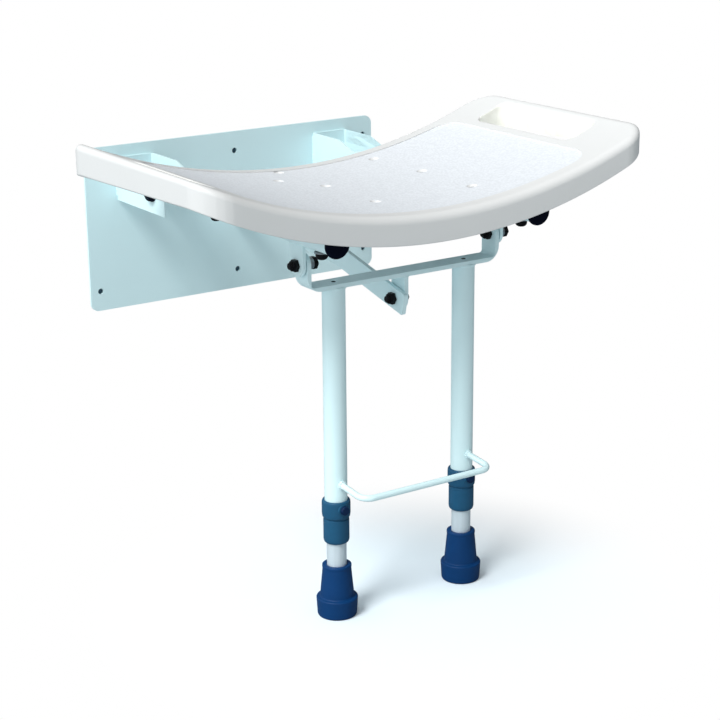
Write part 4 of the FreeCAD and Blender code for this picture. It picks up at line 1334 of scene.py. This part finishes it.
def stage_floor():
    low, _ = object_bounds()
    half = 30.0
    bm = bmesh.new()
    bmesh.ops.create_grid(bm, x_segments=1, y_segments=1, size=half,
                          matrix=Matrix.Translation((0, 0, low.z)))
    floor = mesh_object(bm, "floor")
    f = Finish("floor_white")
    seen = f.node("ShaderNodeLightPath", output="Is Camera Ray")
    mirrored = f.node("ShaderNodeLightPath", output="Is Glossy Ray")
    bounce = f.blend(mirrored, (0.56, 0.60, 0.62), (0.16, 0.20, 0.23))
    tone = f.blend(seen, bounce, (0.83, 0.93, 1.0))
    paint = f.node("ShaderNodeBsdfDiffuse", values={"Color": tone})
    glow = f.node("ShaderNodeEmission", values={"Color": (1, 1, 1, 1), "Strength": 1.0})
    legs = Extent("leg_yoke")
    away = f.node("ShaderNodeVectorMath", {"operation": "DISTANCE"}, {
        0: f.place, 1: (legs.mid.x, legs.mid.y, low.z)}, output="Value")
    share = f.node("ShaderNodeMapRange", {"interpolation_type": "SMOOTHSTEP"}, {
        0: away, 1: FLOOR_NEAR, 2: FLOOR_FAR, 3: FLOOR_GLOW, 4: 1.0})
    mixed = f.node("ShaderNodeMixShader", values={0: seen * share, 1: paint, 2: glow})
    f.node("ShaderNodeOutputMaterial", values={"Surface": mixed})
    floor.data.materials.append(f.material)
    floor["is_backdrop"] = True


def stage_wall_bore_shade():
    # Painted shade: dark discs just behind the wall plate stand for the dark inside of the wall's drilled
    # holes, seen only through the wall plate's own holes.
    plate = Extent("wall_plate")
    bm = bmesh.new()
    for place in wall_hole_places(plate):
        place.y = plate.high.y + 0.15 * MM
        bmesh.ops.create_circle(bm, cap_ends=True, segments=24, radius=4.5 * MM,
                                matrix=Matrix.Translation(place) @ basis(Y))
    shade_discs = mesh_object(bm, "painted_bore_shade")
    f = Finish("wall_bore_shade")
    paint = f.node("ShaderNodeBsdfDiffuse", values={"Color": (0.05, 0.09, 0.12, 1)})
    f.node("ShaderNodeOutputMaterial", values={"Surface": paint})
    shade_discs.data.materials.append(f.material)
    shade_discs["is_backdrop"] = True


def stage_world():
    # A soft light tent, brighter on the left, that the camera itself sees as plain white.
    world = bpy.data.worlds.new("studio")
    bpy.context.scene.world = world
    w = Nodes(world)
    ray = w.node("ShaderNodeTexCoord", output="Generated")
    across = w.node("ShaderNodeSeparateXYZ", values={0: ray}, output="X")
    upward = w.node("ShaderNodeSeparateXYZ", values={0: ray}, output="Z")
    mirrored = w.node("ShaderNodeLightPath", output="Is Glossy Ray")
    slope = TENT_SLOPE + mirrored * TENT_GLOSS
    tent = w.node("ShaderNodeBackground", values={
        "Color": (0.93, 0.98, 1.0, 1), "Strength": (TENT_MIDDLE - across * slope) ** 2 + upward * TENT_TOP})
    white = w.node("ShaderNodeBackground", values={"Color": (1, 1, 1, 1), "Strength": 1.0})
    seen = w.node("ShaderNodeLightPath", output="Is Camera Ray")
    through = w.node("ShaderNodeLightPath", output="Is Transmission Ray")
    mixed = w.node("ShaderNodeMixShader", values={0: seen + through, 1: tent, 2: white})
    w.node("ShaderNodeOutputWorld", values={"Surface": mixed})


def stage_lights():
    key = bpy.data.lights.new("key", "SUN")
    key.energy = 2.75
    key.angle = math.radians(22)
    key.color = (1.0, 0.99, 0.97)
    lamp = bpy.data.objects.new("key", key)
    lamp.rotation_mode = "QUATERNION"
    towards = Vector((-0.58, -0.20, 0.74)).normalized()
    lamp.rotation_quaternion = (-towards).to_track_quat("-Z", "Y")
    lamp.location = towards * 3
    bpy.context.scene.collection.objects.link(lamp)


def stage_camera():
    data = bpy.data.cameras.new("photo_view")
    data.sensor_width = 36
    data.lens = 90.268
    data.clip_start = 0.1
    data.clip_end = 200
    camera = bpy.data.objects.new("photo_view", data)
    bpy.context.scene.collection.objects.link(camera)
    azimuth = math.radians(33.617)
    pitch = math.radians(17.270)
    roll = math.radians(-0.452)
    place = Vector((-1075.614, -1892.254, 480.638)) * MM
    turn = (Matrix.Rotation(-azimuth, 4, "Z") @ Matrix.Rotation(math.pi / 2 - pitch, 4, "X")
            @ Matrix.Rotation(roll, 4, "Z"))
    camera.matrix_world = Matrix.Translation(place) @ turn
    bpy.context.scene.camera = camera


# Operators, one for each group of pieces

class SHOWERSEAT_OT_materials(bpy.types.Operator):
    """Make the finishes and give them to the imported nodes"""

    bl_idname = "showerseat.materials"
    bl_label = "Finishes"

    def execute(self, context):
        make_materials()
        slots = {part["node"]: part["material_slot"] for part in frame["record"]["subparts"]}
        for name, node in frame["nodes"].items():
            for index in range(len(node.material_slots)):
                node.material_slots[index].material = MATERIALS[slots[name]]
        return {"FINISHED"}


class SHOWERSEAT_OT_wall_side(bpy.types.Operator):
    """Build the wall plate, the seat brackets and the link's bracket"""

    bl_idname = "showerseat.wall_side"
    bl_label = "Wall side"

    def execute(self, context):
        wall_plate_piece()
        bracket_pieces()
        link_bracket_piece()
        return {"FINISHED"}


class SHOWERSEAT_OT_fasteners(bpy.types.Operator):
    """Build the hinge, pivot and seat bolts with their nuts and caps"""

    bl_idname = "showerseat.fasteners"
    bl_label = "Fasteners"

    def execute(self, context):
        hinge_pieces()
        pivot_pieces()
        seat_bolt_pieces()
        return {"FINISHED"}


class SHOWERSEAT_OT_seat_frame(bpy.types.Operator):
    """Build the seat frame's tubes, end caps and lugs"""

    bl_idname = "showerseat.seat_frame"
    bl_label = "Seat frame"

    def execute(self, context):
        frame_tube_pieces()
        end_cap_pieces()
        lug_pieces()
        return {"FINISHED"}


class SHOWERSEAT_OT_legs(bpy.types.Operator):
    """Build the yoke, the leg tubes, the carry loop and the folding link"""

    bl_idname = "showerseat.legs"
    bl_label = "Legs and link"

    def execute(self, context):
        yoke_piece()
        leg_tube_pieces()
        carry_loop_piece()
        folding_link_piece()
        return {"FINISHED"}


class SHOWERSEAT_OT_feet(bpy.types.Operator):
    """Build the collars, lock knobs, extension tubes and rubber feet"""

    bl_idname = "showerseat.feet"
    bl_label = "Collars and feet"

    def execute(self, context):
        collar_pieces()
        extension_pieces()
        foot_pieces()
        return {"FINISHED"}


class SHOWERSEAT_OT_board(bpy.types.Operator):
    """Build the moulded seat board"""

    bl_idname = "showerseat.board"
    bl_label = "Seat board"

    def execute(self, context):
        seat_board_piece()
        return {"FINISHED"}


class SHOWERSEAT_OT_stage(bpy.types.Operator):
    """Build the floor, the lights and the camera"""

    bl_idname = "showerseat.stage"
    bl_label = "Stage"

    def execute(self, context):
        stage_floor()
        stage_wall_bore_shade()
        stage_world()
        stage_lights()
        stage_camera()
        context.scene.view_settings.view_transform = "Standard"
        return {"FINISHED"}


STEPS = (SHOWERSEAT_OT_materials, SHOWERSEAT_OT_wall_side, SHOWERSEAT_OT_fasteners,
         SHOWERSEAT_OT_seat_frame, SHOWERSEAT_OT_legs, SHOWERSEAT_OT_feet, SHOWERSEAT_OT_board,
         SHOWERSEAT_OT_stage)


class SHOWERSEAT_PT_panel(bpy.types.Panel):
    """Lists the steps and the sizes of the shower seat"""

    bl_idname = "SHOWERSEAT_PT_panel"
    bl_label = "Shower seat"
    bl_space_type = "VIEW_3D"
    bl_region_type = "UI"
    bl_category = "Shower seat"

    def draw(self, context):
        for step in STEPS:
            self.layout.operator(step.bl_idname)
        for group in (context.scene.seat_sizes, context.scene.seat_colours):
            for name in group.bl_rna.properties.keys():
                if name not in ("rna_type", "name"):
                    self.layout.prop(group, name)


CLASSES = (SeatSizes, SeatColours, *STEPS, SHOWERSEAT_PT_panel)


def register():
    for kind in CLASSES:
        bpy.utils.register_class(kind)
    bpy.types.Scene.seat_sizes = PointerProperty(type=SeatSizes)
    bpy.types.Scene.seat_colours = PointerProperty(type=SeatColours)


def unregister():
    del bpy.types.Scene.seat_colours
    del bpy.types.Scene.seat_sizes
    for kind in reversed(CLASSES):
        bpy.utils.unregister_class(kind)


def main():
    register()
    bpy.ops.showerseat.materials()
    bpy.ops.showerseat.wall_side()
    bpy.ops.showerseat.fasteners()
    bpy.ops.showerseat.seat_frame()
    bpy.ops.showerseat.legs()
    bpy.ops.showerseat.feet()
    bpy.ops.showerseat.board()
    bpy.ops.showerseat.stage()


if __name__ == "__main__":
    main()
